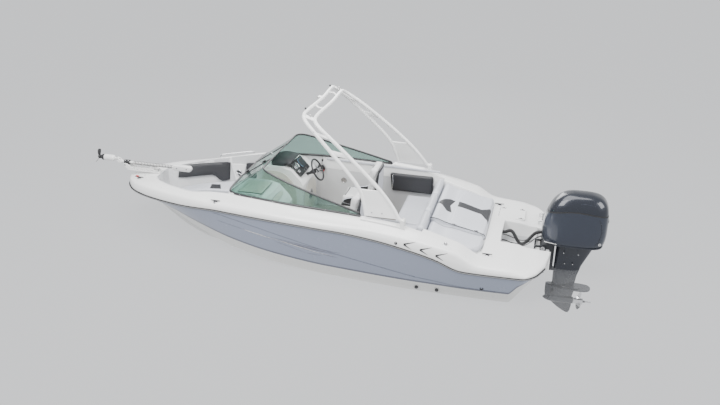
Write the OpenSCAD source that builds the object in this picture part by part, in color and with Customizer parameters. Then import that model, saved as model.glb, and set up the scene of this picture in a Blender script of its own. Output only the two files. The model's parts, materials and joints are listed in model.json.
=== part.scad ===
// Outboard bowrider runabout with a folding arch and a bow-mounted electric motor.
// Millimetres. +X points to the bow, +Y to port, +Z up. z = 0 is the waterline.
// The bottom, topsides and deck are lofted through stations along X, and every
// fitting takes its place from the same station tables.

/* [Hull] */
// Beam over the topsides at the rub rail
hull_beam = 2560; // [2300:10:3100]
// Height of the cockpit floor above the waterline
sole_z = 100; // [60:5:160]
// Height of the knuckle above the chine, where the lower band ends
knuckle_h = 130; // [80:5:180]
// Radius of the rub rail
rub_r = 17; // [12:1:26]

/* [Windshield] */
// Height of the windshield top rail above the waterline at its front
shield_top_z = 1325; // [1240:5:1480]
// Thickness of the panes
glass_t = 6; // [4:1:10]
// Half width of the opening centre pane's doorway
door_half = 300; // [250:5:340]

/* [Arch] */
// Height of the arch's top bar above the waterline
arch_top_z = 2195; // [1900:10:2600]
// Radius of the arch tubes
arch_tube_r = 26; // [19:1:32]

/* [Seats] */
// Width of the bucket seats
seat_w = 500; // [420:10:560]
// Height of the seat cushion's top above the cockpit floor
seat_h = 470; // [400:10:560]
// Height of the seat back above the cushion
seat_back_h = 520; // [400:10:620]
// Height of the bow bench above the cockpit floor, without its cushion
bow_bench_h = 270; // [200:10:330]

/* [Helm] */
// Steering wheel diameter
wheel_d = 370; // [300:5:420]
// Steering wheel rim thickness
wheel_rim_d = 28; // [20:1:36]

/* [Outboard] */
// Width of the engine cowl
cowl_w = 500; // [420:10:600]
// Height of the cowl above its lower edge
cowl_h = 730; // [600:10:840]
// Diameter of the propeller
prop_d = 356; // [300:2:390]
// Radius of the steering tube
steer_tube_r = 20; // [14:1:26]

/* [Bow motor] */
// Diameter of the bow motor's shaft
bow_shaft_d = 36; // [26:1:44]
// Diameter of the bow motor's pod
pod_d = 96; // [80:1:120]
// Diameter of the bow motor's propeller
pod_prop_d = 250; // [200:5:280]

/* [Fits] */
// Clearance of soft parts and seated parts
seat_gap = 0.3; // [0.2:0.1:1]
// Running clearance round a pin
pin_gap = 0.3; // [0.2:0.1:0.6]
// Clearance of moving pieces
move_gap = 6; // [5:1:12]

/* [Hidden] */
$fn = 48;
kb = hull_beam / 2560;

// ---------- station tables: [x, value] ----------
RY = [[-3340,420],[-3290,750],[-3240,900],[-3180,1040],[-3120,1120],[-3030,1195],
  [-2900,1215],[-2230,1262],[-1450,1280],[-440,1280],[150,1245],[700,1170],[1250,1060],
  [1700,950],[2080,815],[2400,690],[2700,550],[2930,400],[3050,270],[3120,150],[3150,60]];
RZ = [[-3340,345],[-2900,362],[-2230,385],[-1850,520],[-1450,620],[-1000,700],[-440,750],
  [150,760],[1250,735],[2080,650],[2700,612],[3150,600]];
DZ = [[-3340,400],[-3000,430],[-2870,458],[-2430,490],[-2120,640],[-1300,800],[-830,850],
  [-300,865],[490,870],[1230,845],[1520,835],[2190,790],[2700,755],[3050,705],[3150,680]];
IB = [[-3340,2],[-2120,6],[-1640,36],[-1300,58],[-830,52],[0,60],[1200,90],[1800,30],[2600,10],[3150,4]];
CY = [[-3340,380],[-3180,900],[-3100,1000],[-3000,1060],[-2900,1078],[-1640,1100],[-390,1095],
  [410,1040],[1100,900],[1800,660],[2300,430],[2800,190],[3150,20]];
CZ = [[-3340,335],[-3180,285],[-3100,215],[-3000,110],[-2900,-20],[-2850,-70],[-1640,-62],
  [-390,-10],[410,50],[1100,125],[1800,260],[2300,380],[2800,500],[3150,594]];
KZ = [[-3340,330],[-3185,40],[-3100,-45],[-3000,-140],[-2900,-260],[-2850,-340],[600,-340],
  [1300,-312],[1870,-235],[2230,-85],[2500,100],[2810,345],[3000,495],[3120,580],[3150,590]];
function ry(x) = kb * lookup(x, RY);
function rz(x) = lookup(x, RZ);
function dz(x) = lookup(x, DZ);
function iz(x) = dz(x) + lookup(x, IB);
function cy(x) = kb * lookup(x, CY);
function cz(x) = lookup(x, CZ);
function kz(x) = lookup(x, KZ);
XS = [-3340,-3290,-3240,-3180,-3120,-3030,-3000,-2950,-2900,-2870,-2850,-2430,-2230,-2120,-1850,-1640,
  -1450,-1300,-1000,-830,-440,-300,0,150,490,700,1100,1200,1230,1250,1520,1700,1800,2080,2190,2300,2500,2600,2700,
  2810,2930,3000,3050,3120,3150];

// ---------- small tools ----------
module box(x0, x1, y0, y1, z0, z1) translate([x0, y0, z0]) cube([x1 - x0, y1 - y0, z1 - z0]);
module xz(y0, y1, pts) translate([0, y1, 0]) rotate([90, 0, 0]) linear_extrude(y1 - y0) polygon(pts);
module rod(p, q, r) {
  v = q - p; l = norm(v);
  translate(p) rotate([0, acos(v[2] / l), atan2(v[1], v[0])]) cylinder(h = l, r = r);
}
module both() { children(); mirror([0, 1, 0]) children(); }
// closed body through rings of equal point count, facing out whichever way they run
function wind(r) = [for (k = [0:2]) let (n = len(r)) [for (i = [0:n-1]) cross(r[i]-r[0], r[(i+1)%n]-r[0])[k]] * [for (i = [0:n-1]) 1]];
module loft(rings) {
  n = len(rings[0]); m = len(rings);
  f = wind(rings[0]) * (rings[1][0] - rings[0][0]) > 0;
  pts = [for (r = rings) each r];
  side = [for (i = [0:m-2], j = [0:n-1]) let (a = i*n+j, b = i*n+(j+1)%n, c = a+n, d = b+n)
    each (f ? [[a, c, d], [a, d, b]] : [[a, b, d], [a, d, c]])];
  lo = [for (j = [0:n-1]) f ? j : n-1-j]; hi = [for (j = [0:n-1]) (m-1)*n + (f ? n-1-j : j)];
  polyhedron(points = pts, faces = concat(side, [lo], [hi]), convexity = 8);
}
function unit(v) = v / norm(v);
// round tube through points
module sweep(pts, r, n = 10, up = [0, 0, 1]) {
  m = len(pts);
  loft([for (i = [0:m-1]) let (
      t = unit(pts[min(i+1, m-1)] - pts[max(i-1, 0)]),
      a = unit(cross(t, up)), b = cross(a, t))
    [for (k = [0:n-1]) pts[i] + r*(cos(360*k/n)*a - sin(360*k/n)*b)]]);
}
// thin sheet between two lists of points, offset by t on one side
module sheet(lo, hi, t) {
  m = len(lo);
  rings = [for (i = [0:m-1]) let (nn = unit(cross(unit(lo[min(i+1, m-1)] - lo[max(i-1, 0)]), hi[i] - lo[i])))
      [lo[i] - nn*t/2, hi[i] - nn*t/2, hi[i] + nn*t/2, lo[i] + nn*t/2]];
  f = wind(rings[0]) * (rings[1][0] - rings[0][0]) > 0;
  // both faces fold along the same diagonals, so that a twisted sheet keeps its thickness
  skin = concat([for (i = [0:m-2], j = [0:3]) let (a = 4*i+j, b = 4*i+(j+1)%4, c = a+4, d = b+4)
    each (j == 2 ? [[a, c, b], [b, c, d]] : [[a, c, d], [a, d, b]])], [[0, 1, 2, 3], [for (j = [3:-1:0]) 4*(m-1)+j]]);
  polyhedron(points = [for (r = rings) each r], faces = f ? skin : [for (q = skin) [for (k = [len(q)-1:-1:0]) q[k]]], convexity = 8);
}
function flip(l) = [for (p = l) [p[0], -p[1], p[2]]];
function rev(l) = [for (i = [len(l)-1:-1:0]) l[i]];

// ---------- hull and deck bodies ----------
function hull_ring(x) = let (yr = ry(x), zr = rz(x), yc = cy(x), zc = cz(x), zk = kz(x),
    f = min(1, yc/400), kn = min(knuckle_h, (zr-zc)*0.42), g = kn/(zr-zc),
    h = [[yr, zr], [yc+(yr-yc)*0.66, zc+(zr-zc)*0.60], [yc+(yr-yc)*(g+0.06), zc+kn],
      [yc, zc], [yc-55*f, zc-6*f-(zc-zk)*0.03]])
  concat([for (p = h) [x, -p[0], p[1]]], [[x, 0, zk]], [for (i = [4:-1:0]) [x, h[i][0], h[i][1]]]);
function deck_ring(x) = let (yr = ry(x), s = min(1, yr/420), zr = rz(x), d = dz(x), e = iz(x),
    h = [[yr, zr], [yr-6*s, zr+(d-zr)*0.5], [yr-32*s, d-14*s], [yr-90*s, d], [yr-190*s, e]])
  concat([for (p = h) [x, -p[0], p[1]]], [[x, 0, e]], [for (i = [4:-1:0]) [x, h[i][0], h[i][1]]]);
// height of the deck's skin at (x, |y|)
function dtop(x, y) = let (yr = ry(x), s = min(1, yr/420), d = dz(x), e = iz(x))
  lookup(abs(y), [[0, e], [yr-190*s, e], [yr-90*s, d], [yr-32*s, d-14*s], [yr, rz(x)]]);
module hull_body() loft([for (x = XS) hull_ring(x)]);
module deck_body() loft([for (x = XS) deck_ring(x)]);

// cockpit plan: half widths of the well at stations
aft_x = -1640;          // forward face of the moulding under the sun pad
dash_x0 = 430; dash_x1 = 1180;
function wy(x) = x <= 300 ? 1000*kb : ry(x) - 215;
MAIN_X = [aft_x, 300, 700, dash_x1];
BOW = [[dash_x1, 860], [1520, 770], [1800, 660], [2080, 512], [2300, 355], [2480, 185], [2550, 90]];
BOW_TOP = [[dash_x1, 860], [1520, 770], [1800, 735], [2080, 600], [2320, 470], [2520, 330], [2630, 180]];
foot_half = 260;        // walkway between the consoles
FOOT = [[dash_x1 - 60, foot_half], [1900, 215], [2120, 130]];
skin = 12;              // the liner's wall
function loop(h, g) = concat([for (p = h) [p[0], -p[1]*kb - g]], rev([for (p = h) [p[0], p[1]*kb + g]]));
// main well: plan polygon, grown outwards by g
module well_plan(g = 0) polygon([for (q = concat([for (x = MAIN_X) [x, -wy(x) - g]], rev([for (x = MAIN_X) [x, wy(x) + g]])))
  [q[0] + (q[0] == aft_x ? -g : 0), q[1]]]);
function at_z(l, z, dx) = [for (p = l) [p[0] + dx*(p[0] > 2500 ? 1 : 0), p[1], z]];
bow_z = sole_z + bow_bench_h;
module bow_cavity(g) {
  b = loop(BOW, g); t = loop(BOW_TOP, g);
  loft([at_z(b, bow_z - g, g), at_z(t, 760, g), at_z(t, 1300, g)]);
}
module foot_cavity(g) translate([0, 0, sole_z - g]) linear_extrude(bow_z + 20 - sole_z)
  polygon([for (q = loop(FOOT, g)) [q[0] + (q[0] > 2000 ? g : 0), q[1]]]);
module cavity(g) {
  translate([0, 0, sole_z - g]) linear_extrude(1200) well_plan(g);
  bow_cavity(g);
  foot_cavity(g);
}
// engine well
well_half = 360; board_x = -3185; board_t = 62; notch_z = 335; well_x = -2640; well_floor = 150;
module pad_cut() box(pad_x0, aft_x + 10, -pad_half*kb, pad_half*kb, pad_z, 1200);
module engine_cut() {
  box(-3400, board_x, -well_half - 10, well_half + 10, -400, 900);
  box(board_x + board_t, well_x, -well_half, well_half, well_floor, 900);
  box(board_x - 5, board_x + board_t + 5, -well_half, well_half, notch_z, 900);
}
// sun pad recess and hatch recess
pad_x0 = -2440; pad_z = 470; pad_half = 900; walk_y0 = 420; walk_y1 = 850;
hatch_x0 = -2930; hatch_x1 = -2530; hatch_y0 = -820; hatch_y1 = -430; hatch_z = 450; hatch_t = 32;
module deck_cuts() {
  cavity(skin);
  engine_cut();
  pad_cut();
  box(hatch_x0 - 2, hatch_x1 + 2, hatch_y0*kb - 2, hatch_y1 + 2, hatch_z, 900);
  // grooves that seat the windshield rail and the arch feet
  both() sweep(shield_low(), shield_r + 0.4, 8);
  both() foot_plate(0.4);
  both() for (c = CLEATS) translate([c[0], c[1]*kb, dtop(c[0], c[1]*kb) - 16]) cylinder(h = 300, r = 34);
  translate([mount_x0 - 0.4, -mount_w/2 - 0.4, mount_z]) cube([900, mount_w + 0.8, 400]);
}
CLEATS = [[2900, 250], [1330, 975], [-2512, 872]];
module boat_hull() { color("slategray") resize([0,0,0]) difference() { hull_body(); cavity(skin); engine_cut(); pad_cut(); } }
module deck() { color("white") resize([0,0,0]) difference() { deck_body(); deck_cuts(); } }

// ---------- rub rail ----------
RAIL_X = [for (x = XS) if (x >= -3290 && x <= 3150) x];
function rail_pt(i) = let (n = len(RAIL_X), x = RAIL_X[i], p = [RAIL_X[max(i-1, 0)], ry(RAIL_X[max(i-1, 0)])],
    q = [RAIL_X[min(i+1, n-1)], ry(RAIL_X[min(i+1, n-1)])], t = q - p, u = t/norm(t), o = rub_r*1.05 + 0.4)
  [x - u[1]*o, ry(x) + u[0]*o, rz(x)];
module rub_rail() { color([0.12,0.12,0.13]) {
  half = [for (i = [0:len(RAIL_X)-1]) rail_pt(i)];
  nose = 3150 + rub_r + 1;
  sweep(concat(half, [[nose, 44*kb, 600], [nose, -44*kb, 600]], rev(flip(half))), rub_r, 8);
} }

// ---------- liner ----------
bench_x1 = -1060; bench_h = 262;
module liner_part(x0, x1) resize([0,0,0]) intersection() {
  difference() { union() { hull_body(); deck_body(); }
    difference() { box(-4000, 4000, -2000, 2000, -500, 1500); cavity(skin); }
    cavity(0);
    engine_cut();
    pad_cut();
    both() sweep(shield_low(), shield_r + 0.4, 8);
    both() foot_plate(0.4);
  }
  box(x0, x1, -2000, 2000, -500, 1500);
}
module cockpit_liner() { color("gainsboro") {
  liner_part(-4000, dash_x1 - 30);
  box(aft_x - 1, bench_x1, -wy(0), wy(0), sole_z, sole_z + bench_h);
} }
module bow_liner() { color("gainsboro") liner_part(dash_x1 - 30, 4000); }

// ---------- consoles ----------
dash_z = 955;
CONSOLE = [[dash_x0, sole_z], [dash_x1, sole_z], [dash_x1, 940], [dash_x1 - 60, dash_z],
  [760, dash_z], [620, 920], [470, 760], [dash_x0, 690]];
module console_block(y0, y1) resize([0,0,0]) difference() {
  intersection() {
    translate([0, 0, sole_z]) linear_extrude(1000) well_plan();
    xz(y0, y1, CONSOLE);
  }
  both() { sweep(shield_low(), shield_r + 0.4, 8); sheet(shield_low(), shield_high(), glass_t + 0.8); }
}
module helm_console() { color("whitesmoke") difference() {
  console_block(-1300, -foot_half*kb);
  translate(wheel_c) rotate([0, -column_tilt, 0]) translate([0, 0, -400]) cylinder(h = 400, r = 24);
} }
module port_console() { color("whitesmoke") difference() {
  console_block(foot_half*kb, 1300);
  box(dash_x0 - 10, 640, foot_half + 90, 800*kb, 500, 640);
} }
wheel_c = [300, -600, 850]; column_tilt = 62;
module dash_panel() { color([0.1,0.1,0.11]) {
  difference() {
    xz(-790*kb, -320, [[760, dash_z + 0.3], [980, dash_z + 0.3], [960, 1040], [800, 1075], [640, 1040], [622, 990], [700, 975]]);
    box(560, 668, -760*kb, -360, 900, 1100);
  }
  translate(wheel_c) rotate([0, -column_tilt, 0]) translate([0, 0, -260]) cylinder(h = 260 - 17 - pin_gap, r = 23.5);
} }
function side_y(x) = lookup(x, [for (q = MAIN_X) [q, wy(q)]]);
module throttle() { color("dimgray") {
  box(300, 400, -side_y(400) + 0.3, -side_y(400) + 42, 690, 790);
  rod([350, -side_y(400) + 55, 740], [320, -side_y(400) + 55, 880], 9);
  rod([350, -side_y(400) + 30, 740], [350, -side_y(400) + 64, 740], 24);
  translate([320, -side_y(400) + 55, 885]) sphere(r = 21);
} }

// ---------- windshield ----------
shield_r = 14; rail_r = 11;
function shield_low() = [[-790, 1030*kb, iz(-790) + 10], [-300, 1022*kb, iz(-300) + 10],
  [300, 1000*kb, iz(300) + 10], [800, 925*kb, iz(800) + 10], [1080, 868*kb, iz(1080) + 10],
  [1168, 815*kb, 958], [1190, 720*kb, 968], [1190, door_half, 985]];
function shield_high() = [[-770, 1018*kb, iz(-790) + 45], [-300, 985*kb, iz(-300) + 10 + 0.364*(shield_top_z - iz(-300) - 10)],
  [200, 930*kb, shield_top_z - 120], [520, 872*kb, shield_top_z - 22], [640, 815*kb, shield_top_z + 4],
  [690, 740*kb, shield_top_z + 5], [700, 640*kb, shield_top_z], [700, door_half, shield_top_z]];
jamb_lo = [1190, door_half, 985]; jamb_hi = [700, door_half, shield_top_z];
jamb_u = unit(jamb_hi - jamb_lo); jamb_n = unit(cross([0, 1, 0], jamb_u)) * -1;
module frame_half() {
  sweep(shield_low(), shield_r, 8);
  sweep(shield_high(), rail_r, 8);
  rod(shield_low()[0], shield_high()[0], rail_r);
  rod(jamb_lo, jamb_hi, rail_r);
  translate(jamb_lo) sphere(r = shield_r);
  translate(jamb_hi) sphere(r = rail_r);
}
module windshield_frame() { $fn = 16; color([0.1,0.1,0.11]) resize([0,0,0]) union() {
  frame_half(); mirror([0, 1, 0]) frame_half();
  // sill under the opening pane
  rod(jamb_lo, [jamb_lo[0], -jamb_lo[1], jamb_lo[2]], shield_r);
  // hinge pins on the port jamb
  for (d = HINGES) {
    a = jamb_lo + jamb_u*d + hinge_off;
    rod(a - jamb_u*34, a + jamb_u*34, 4);
    for (s = [-34, 28]) hull() { translate(a + jamb_u*s) rotate_to() cylinder(h = 6, r = 6);
      translate(a + jamb_u*s - hinge_off*0.8) rotate_to() cylinder(h = 6, r = 6); }
  }
} }
HINGES = [120, 440];
hinge_off = jamb_n * -26;   // the hinge line stands off the jamb, outside the pane
module rotate_to() { v = jamb_u; rotate([0, acos(v[2]), atan2(v[1], v[0])]) children(); }
// the pane's edges stand off the rails' centres; its ends stand off the post and the jamb
pane_gap = 0.25;
function pane_pts(a, b, r) = let (m = len(a), jy = door_half + rail_r + 4, k = (a[m-2][1] - jy)/(a[m-2][1] - a[m-1][1]))
  [for (i = [0:m-1]) let (
      p = i == 0 ? a[0] + 0.075*(a[1] - a[0]) : i == m-1 ? a[m-2] + k*(a[m-1] - a[m-2]) : a[i],
      q = i == 0 ? b[0] + 0.075*(b[1] - b[0]) : i == m-1 ? b[m-2] + k*(b[m-1] - b[m-2]) : b[i])
    let (d = unit(q - p), s0 = norm(cross(d, unit(a[i] - a[max(i-1, 0)] + (i == 0 ? a[1] - a[0] : [0, 0, 0])))),
      s1 = norm(cross(d, unit(a[min(i+1, m-1)] - a[i] + (i == m-1 ? a[m-1] - a[m-2] : [0, 0, 0])))))
    p + (r + pane_gap)/min(s0, s1)*d];
module pane() sheet(pane_pts(shield_low(), shield_high(), shield_r), pane_pts(shield_high(), shield_low(), rail_r), glass_t);
module port_glass() { color([0.3,0.5,0.45,0.6]) pane(); }
module starboard_glass() { color([0.3,0.5,0.45,0.6]) mirror([0, 1, 0]) pane(); }
door_r = 9;
module centre_window() {
  y = door_half - rail_r - move_gap - door_r;
  lo = jamb_lo + jamb_u*(shield_r + move_gap + door_r); hi = jamb_hi - jamb_u*2;
  c = [[lo[0], y, lo[2]], [hi[0], y, hi[2]], [hi[0], -y, hi[2]], [lo[0], -y, lo[2]]];
  $fn = 16;
  color([0.1,0.1,0.11]) difference() {
    resize([0,0,0]) union() {
      for (i = [0:3]) { rod(c[i], c[(i+1)%4], door_r); translate(c[i]) sphere(r = door_r); }
      for (d = HINGES) {
        a = jamb_lo + jamb_u*d + hinge_off;
        hull() {
          translate(a - jamb_u*26) rotate_to() cylinder(h = 52, r = 7);
          translate([a[0], y, a[2]] - hinge_off - jamb_u*26) rotate_to() cylinder(h = 52, r = 4);
        }
      }
    }
    for (d = HINGES) translate(jamb_lo + jamb_u*(d - 30) + hinge_off) rotate_to() cylinder(h = 60, r = 4 + pin_gap, $fn = 48);
  }
  color([0.3,0.5,0.45,0.6]) sheet([for (s = [1, -1]) c[0] * 0 + [lo[0], s*(y - door_r + 1), lo[2]] + jamb_u*(door_r - 1)],
    [for (s = [1, -1]) [hi[0], s*(y - door_r + 1), hi[2]] - jamb_u*(door_r - 1)], glass_t);
}

// ---------- bow seating ----------
// half breadth of the bow well at a height
function bowy(x, z) = let (t = min(1, (z - bow_z)/(760 - bow_z))) kb*(lookup(x, BOW)*(1 - t) + lookup(x, BOW_TOP)*t);
cush_h = 100; BOWC_X = [dash_x1 + 30, 1520, 1800, 2080, 2300, 2430];
module bow_cushion_half() {
  translate([0, 0, bow_z + seat_gap]) linear_extrude(cush_h)
    polygon(concat([for (x = BOWC_X) [x, bowy(x, bow_z) - seat_gap]], [[2430, 8], [2150, 8], [2140, 150*kb], [1900, 232*kb], [dash_x1 + 30, foot_half*kb + 10]]));
}
module bow_cushions() { color("lightgray") both() bow_cushion_half(); }
module bow_backrest_half() resize([0,0,0]) difference() {
  intersection() { bow_cavity(-seat_gap); box(dash_x1 + 30, 2300, 0, 2000, bow_z + cush_h + 2*seat_gap, 745); }
  bow_cavity(-62);
}
module bow_backrests() { color([0.3,0.3,0.32]) both() bow_backrest_half(); }

// ---------- cockpit seating ----------
module side_pads() { color([0.3,0.3,0.32])
  both() box(-1480, -760, wy(0) - 62, wy(0) - seat_gap, 480, 800); }
module aft_bench_cushion() { color("lightgray")
  box(aft_x + 150, bench_x1 - 5, -(wy(0) - 64), wy(0) - 64, sole_z + 262 + seat_gap, sole_z + 262 + 110); }
module aft_backrest() { color("lightgray")
  for (y = [[-930, -330], [-310, 310], [330, 930]])
    xz(y[0]*kb, y[1]*kb, [[aft_x + seat_gap, sole_z + bench_h + seat_gap], [aft_x + 145, sole_z + bench_h + seat_gap], [aft_x + 110, 780], [aft_x + 60, 810], [aft_x + seat_gap, 790]]); }
PAD = [[pad_x0 + 4, pad_z + seat_gap], [pad_x0 + 4, 555], [pad_x0 + 40, 590], [-1900, 690], [aft_x - 60, 760],
  [aft_x - 6, 735], [aft_x - 6, pad_z + seat_gap]];
module sunpad() { color("lightgray") xz(-(pad_half - 4)*kb, (walk_y0 - 8)*kb, PAD); }
module walkway_cushion() { color("lightgray") xz(walk_y0*kb, (pad_half - 4)*kb,
  [[pad_x0 + 4, pad_z + seat_gap], [pad_x0 + 4, 530], [pad_x0 + 40, 560], [-1900, 640], [aft_x - 60, 700],
   [aft_x - 6, 690], [aft_x - 6, pad_z + seat_gap]]); }

// ---------- stern fittings ----------
module stern_hatch_lid() { color("white") {
  translate([hatch_x0 + move_gap, hatch_y0*kb + move_gap, hatch_z + seat_gap])
    cube([hatch_x1 - hatch_x0 - 2*move_gap, (hatch_y1 - hatch_y0*kb) - 2*move_gap, hatch_t]);
  // hinge barrel along the forward edge
  translate([hatch_x1 - move_gap, hatch_y0*kb + 40, hatch_z + hatch_t + seat_gap]) rotate([-90, 0, 0])
    cylinder(h = hatch_y1 - hatch_y0*kb - 80, r = 7);
} }
module swim_ladder() { color("silver") {
  z = iz(-3130) + 50; r = 13;
  for (y = [-760, -480]) {
    rod([-3130, y*kb, z], [-3300, y*kb, z], r);
    rod([-3130, y*kb, z], [-3130, y*kb, iz(-3130) + seat_gap + 1.1], r);
    translate([-3130, y*kb, z]) sphere(r = r);
  }
  for (x = [-3190, -3290]) rod([x, -760*kb, z], [x, -480*kb, z], r);
} }
module cleats() { color([0.1,0.1,0.11]) both() for (c = CLEATS)
  translate([c[0], c[1]*kb, dtop(c[0], c[1]*kb) - 16 + 0.01]) { cylinder(h = 30, r = 33.7); translate([-70, -12, 30]) cube([140, 24, 14]); } }
function rail_at(x, h) = [x, ry(x) - 150, dtop(x, ry(x) - 150) + h];
module bow_grab_rail() { color("silver") mirror([0, 1, 0])
  sweep([rail_at(1440, seat_gap + 1.2), rail_at(1440, 30), rail_at(1462, 54), rail_at(1500, 62), rail_at(1700, 62), rail_at(1900, 62),
    rail_at(1938, 54), rail_at(1960, 30), rail_at(1960, seat_gap + 1.2)], 11, 10, [0, 1, 0.2]);
}

// ---------- bucket seats ----------
seat_x = -400; seat_y = 560; ped_r = 42;
module seat_pedestals() { color("silver") both() translate([seat_x, seat_y*kb, sole_z]) {
  cylinder(h = 12, r = 150); cylinder(h = seat_h - 180, r = ped_r); } }
module seat_shell() {
  z = sole_z + seat_h - 120; w = seat_w/2;
  translate([seat_x, seat_y*kb, 0]) {
    difference() { box(-240, 250, -w, w, z - 30, z);
      translate([0, 0, z - 61]) cylinder(h = 60.3, r = ped_r + pin_gap); }
    translate([0, 0, z - 60 + 0.3]) difference() { cylinder(h = 30, r = 90); translate([0,0,-1]) cylinder(h = 32, r = ped_r + pin_gap); }
    xz(-w, w, [[-300, z - 30], [-235, z - 30], [-262, z + 60], [-300, z + seat_back_h + 80], [-335, z + seat_back_h + 80], [-320, z + 60]]);
    for (s = [-1, 1]) xz(s > 0 ? w - 40 : -w, s > 0 ? w : -w + 40, [[-262, z], [230, z], [210, z + 110], [-60, z + 150], [-262, z + 230]]);
  }
}
module seat_soft() {
  z = sole_z + seat_h - 120; w = seat_w/2 - 42;
  translate([seat_x, seat_y*kb, 0]) {
    xz(-w, w, [[-130, z + seat_gap], [238, z + seat_gap], [250, z + 60], [225, z + 118], [-130, z + 105]]);
    xz(-w, w, [[-234, z + seat_gap], [-134, z + seat_gap], [-134, z + 100], [-170, z + 300], [-215, z + seat_back_h + 90],
      [-290, z + seat_back_h + 96], [-299.3, z + seat_back_h + 79], [-261.3, z + 60]]);
  }
}
module helm_seat() { color("dimgray") mirror([0, 1, 0]) seat_shell(); }
module helm_seat_cushion() { color("white") mirror([0, 1, 0]) seat_soft(); }
module port_seat() { color("dimgray") seat_shell(); }
module port_seat_cushion() { color("white") seat_soft(); }

// ---------- steering wheel ----------
module steering_wheel() { color([0.12,0.12,0.13])
  translate(wheel_c) rotate([0, -column_tilt, 0]) {
    rotate_extrude() translate([wheel_d/2 - wheel_rim_d/2, 0]) circle(d = wheel_rim_d);
    cylinder(h = 34, r = 42, center = true);
    for (a = [0, 120, 240]) rotate([0, 0, a]) translate([30, -16, -5]) cube([wheel_d/2 - wheel_rim_d - 20, 32, 8]);
  } }

// ---------- folding arch ----------
arch_px = -1385; arch_pz = 925; pivot_r = 12;
dzt = arch_top_z - 2195;
function up(z) = z + dzt * max(0, (z - 1000)/1195);
FRONT = [[-885, 1068, 948], [-850, 1035, 1080], [-780, 998, 1290], [-570, 965, 1520], [-350, 925, 1735], [-110, 870, 1965],
  [40, 815, 2095], [92, 740, 2158], [88, 600, 2180], [55, 300, 2192], [40, 0, 2195]];
REAR = [[-1330, 1066, 950], [-1230, 1026, 1100], [-1060, 988, 1290], [-840, 955, 1490], [-590, 915, 1700], [-330, 865, 1905],
  [-130, 812, 2045], [-60, 740, 2110], [-60, 600, 2135], [-85, 300, 2148], [-100, 0, 2152]];
function arch(l) = let (h = [for (p = l) [p[0], p[1]*kb, up(p[2])]]) concat(h, rev(flip([for (i = [0:len(h)-2]) h[i]])));
// sloping plate let into the deck under each foot
foot_x0 = -1425; foot_x1 = -815; foot_y0 = 1018; foot_y1 = 1118;
function foot_z(x) = iz(x) + 10;
module foot_plate(g) xz(foot_y0*kb - g, foot_y1*kb + g, concat(
  [for (x = [foot_x0, -1300, -830, foot_x1]) [x + sign(x + 1100)*g, foot_z(x) - 34 - g]],
  [for (x = [foot_x1, -830, -1300, foot_x0]) [x + sign(x + 1100)*g, foot_z(x) + g*500]]));
module arch_feet() { color("white") both() {
  difference() {
    union() { foot_plate(0);
      for (y = [foot_y0, foot_y1]) translate([arch_px, y*kb - (y > 1050 ? 11 : 0), 0]) {
        box(-30, 30, 0, 11, foot_z(arch_px + 30) - 30, arch_pz);
        translate([0, 0, arch_pz]) rotate([-90, 0, 0]) cylinder(h = 11, r = 30);
      } }
    translate([arch_px, 900*kb, arch_pz]) rotate([-90, 0, 0]) cylinder(h = 300, r = pivot_r);
  }
  translate([arch_px, foot_y0*kb, arch_pz]) rotate([-90, 0, 0]) cylinder(h = (foot_y1 - foot_y0)*kb, r = pivot_r);
} }
module arch_frame() { color("whitesmoke") {
  a = arch(FRONT); b = arch(REAR); n = len(a);
  resize([0,0,0]) union() {
    sweep(a, arch_tube_r, 12, [1, 0, 0.3]);
    sweep(b, arch_tube_r, 12, [1, 0, 0.3]);
    for (i = [5, 7, 9, 11, 13, 15]) rod(a[i], b[i], i == 9 || i == 11 ? 14 : 18);
  }
} }
module plate(p, r, h = 36) translate(p) rotate([90, 0, 0]) cylinder(h = h, r = r, center = true);
module arch_panel() {
  a = arch(FRONT); b = arch(REAR);
  y0 = (foot_y0 + 11)*kb + move_gap; y1 = (foot_y1 - 11)*kb - move_gap;
  difference() {
    resize([0,0,0]) difference() {
      union() {
        hull() { plate(a[0], 20); plate(a[1], 20); plate(b[0], 20); plate(b[1], 20); }
        hull() { plate(a[1], 20); plate(a[2], 20); plate(b[1], 20); plate(b[2], 20); }
        translate([arch_px, y0, arch_pz]) rotate([-90, 0, 0]) cylinder(h = y1 - y0, r = 26);
        hull() { translate([arch_px, y0 + 12, arch_pz]) rotate([-90, 0, 0]) cylinder(h = y1 - y0 - 24, r = 20); plate(b[0], 20); }
      }
      sweep([for (i = [0:3]) a[i]], arch_tube_r + 0.3, 12, [1, 0, 0.3]);
      sweep([for (i = [0:3]) b[i]], arch_tube_r + 0.3, 12, [1, 0, 0.3]);
      // the window in the panel
      hull() { plate([-1010, 1010*kb, 1150], 26, 300); plate([-1060, 1010*kb, 1150], 26, 300); }
    }
    translate([arch_px, 900*kb, arch_pz]) rotate([-90, 0, 0]) cylinder(h = 300, r = pivot_r + pin_gap);
  }
}
module port_arch_panel() { color("white") arch_panel(); }
module starboard_arch_panel() { color("white") mirror([0, 1, 0]) arch_panel(); }

// ---------- outboard ----------
tilt_x = -3225; tilt_z = 330; steer_x = -3345; tilt_tube_r = 18;
module clamp_bracket() { color([0.08,0.08,0.09]) {
  both() difference() {
    xz(96, 122, [[board_x - 0.3, -40], [board_x - 0.3, notch_z + 0.3], [board_x + board_t + 0.3, notch_z + 0.3],
      [board_x + board_t + 0.3, notch_z - 90], [board_x + board_t + 22, notch_z - 90], [board_x + board_t + 22, notch_z + 10],
      [tilt_x + 20, notch_z + 28], [tilt_x - 34, tilt_z + 10], [tilt_x - 44, tilt_z - 60], [tilt_x - 60, 60], [tilt_x - 50, -60], [board_x - 30, -70]]);
  }
  translate([tilt_x, -140, tilt_z]) rotate([-90, 0, 0]) cylinder(h = 280, r = tilt_tube_r);
  translate([cyl_x, -100, cyl_z]) rotate([-90, 0, 0]) cylinder(h = 200, r = 8);
} }
cyl_x = -3235; cyl_z = -20;
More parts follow.
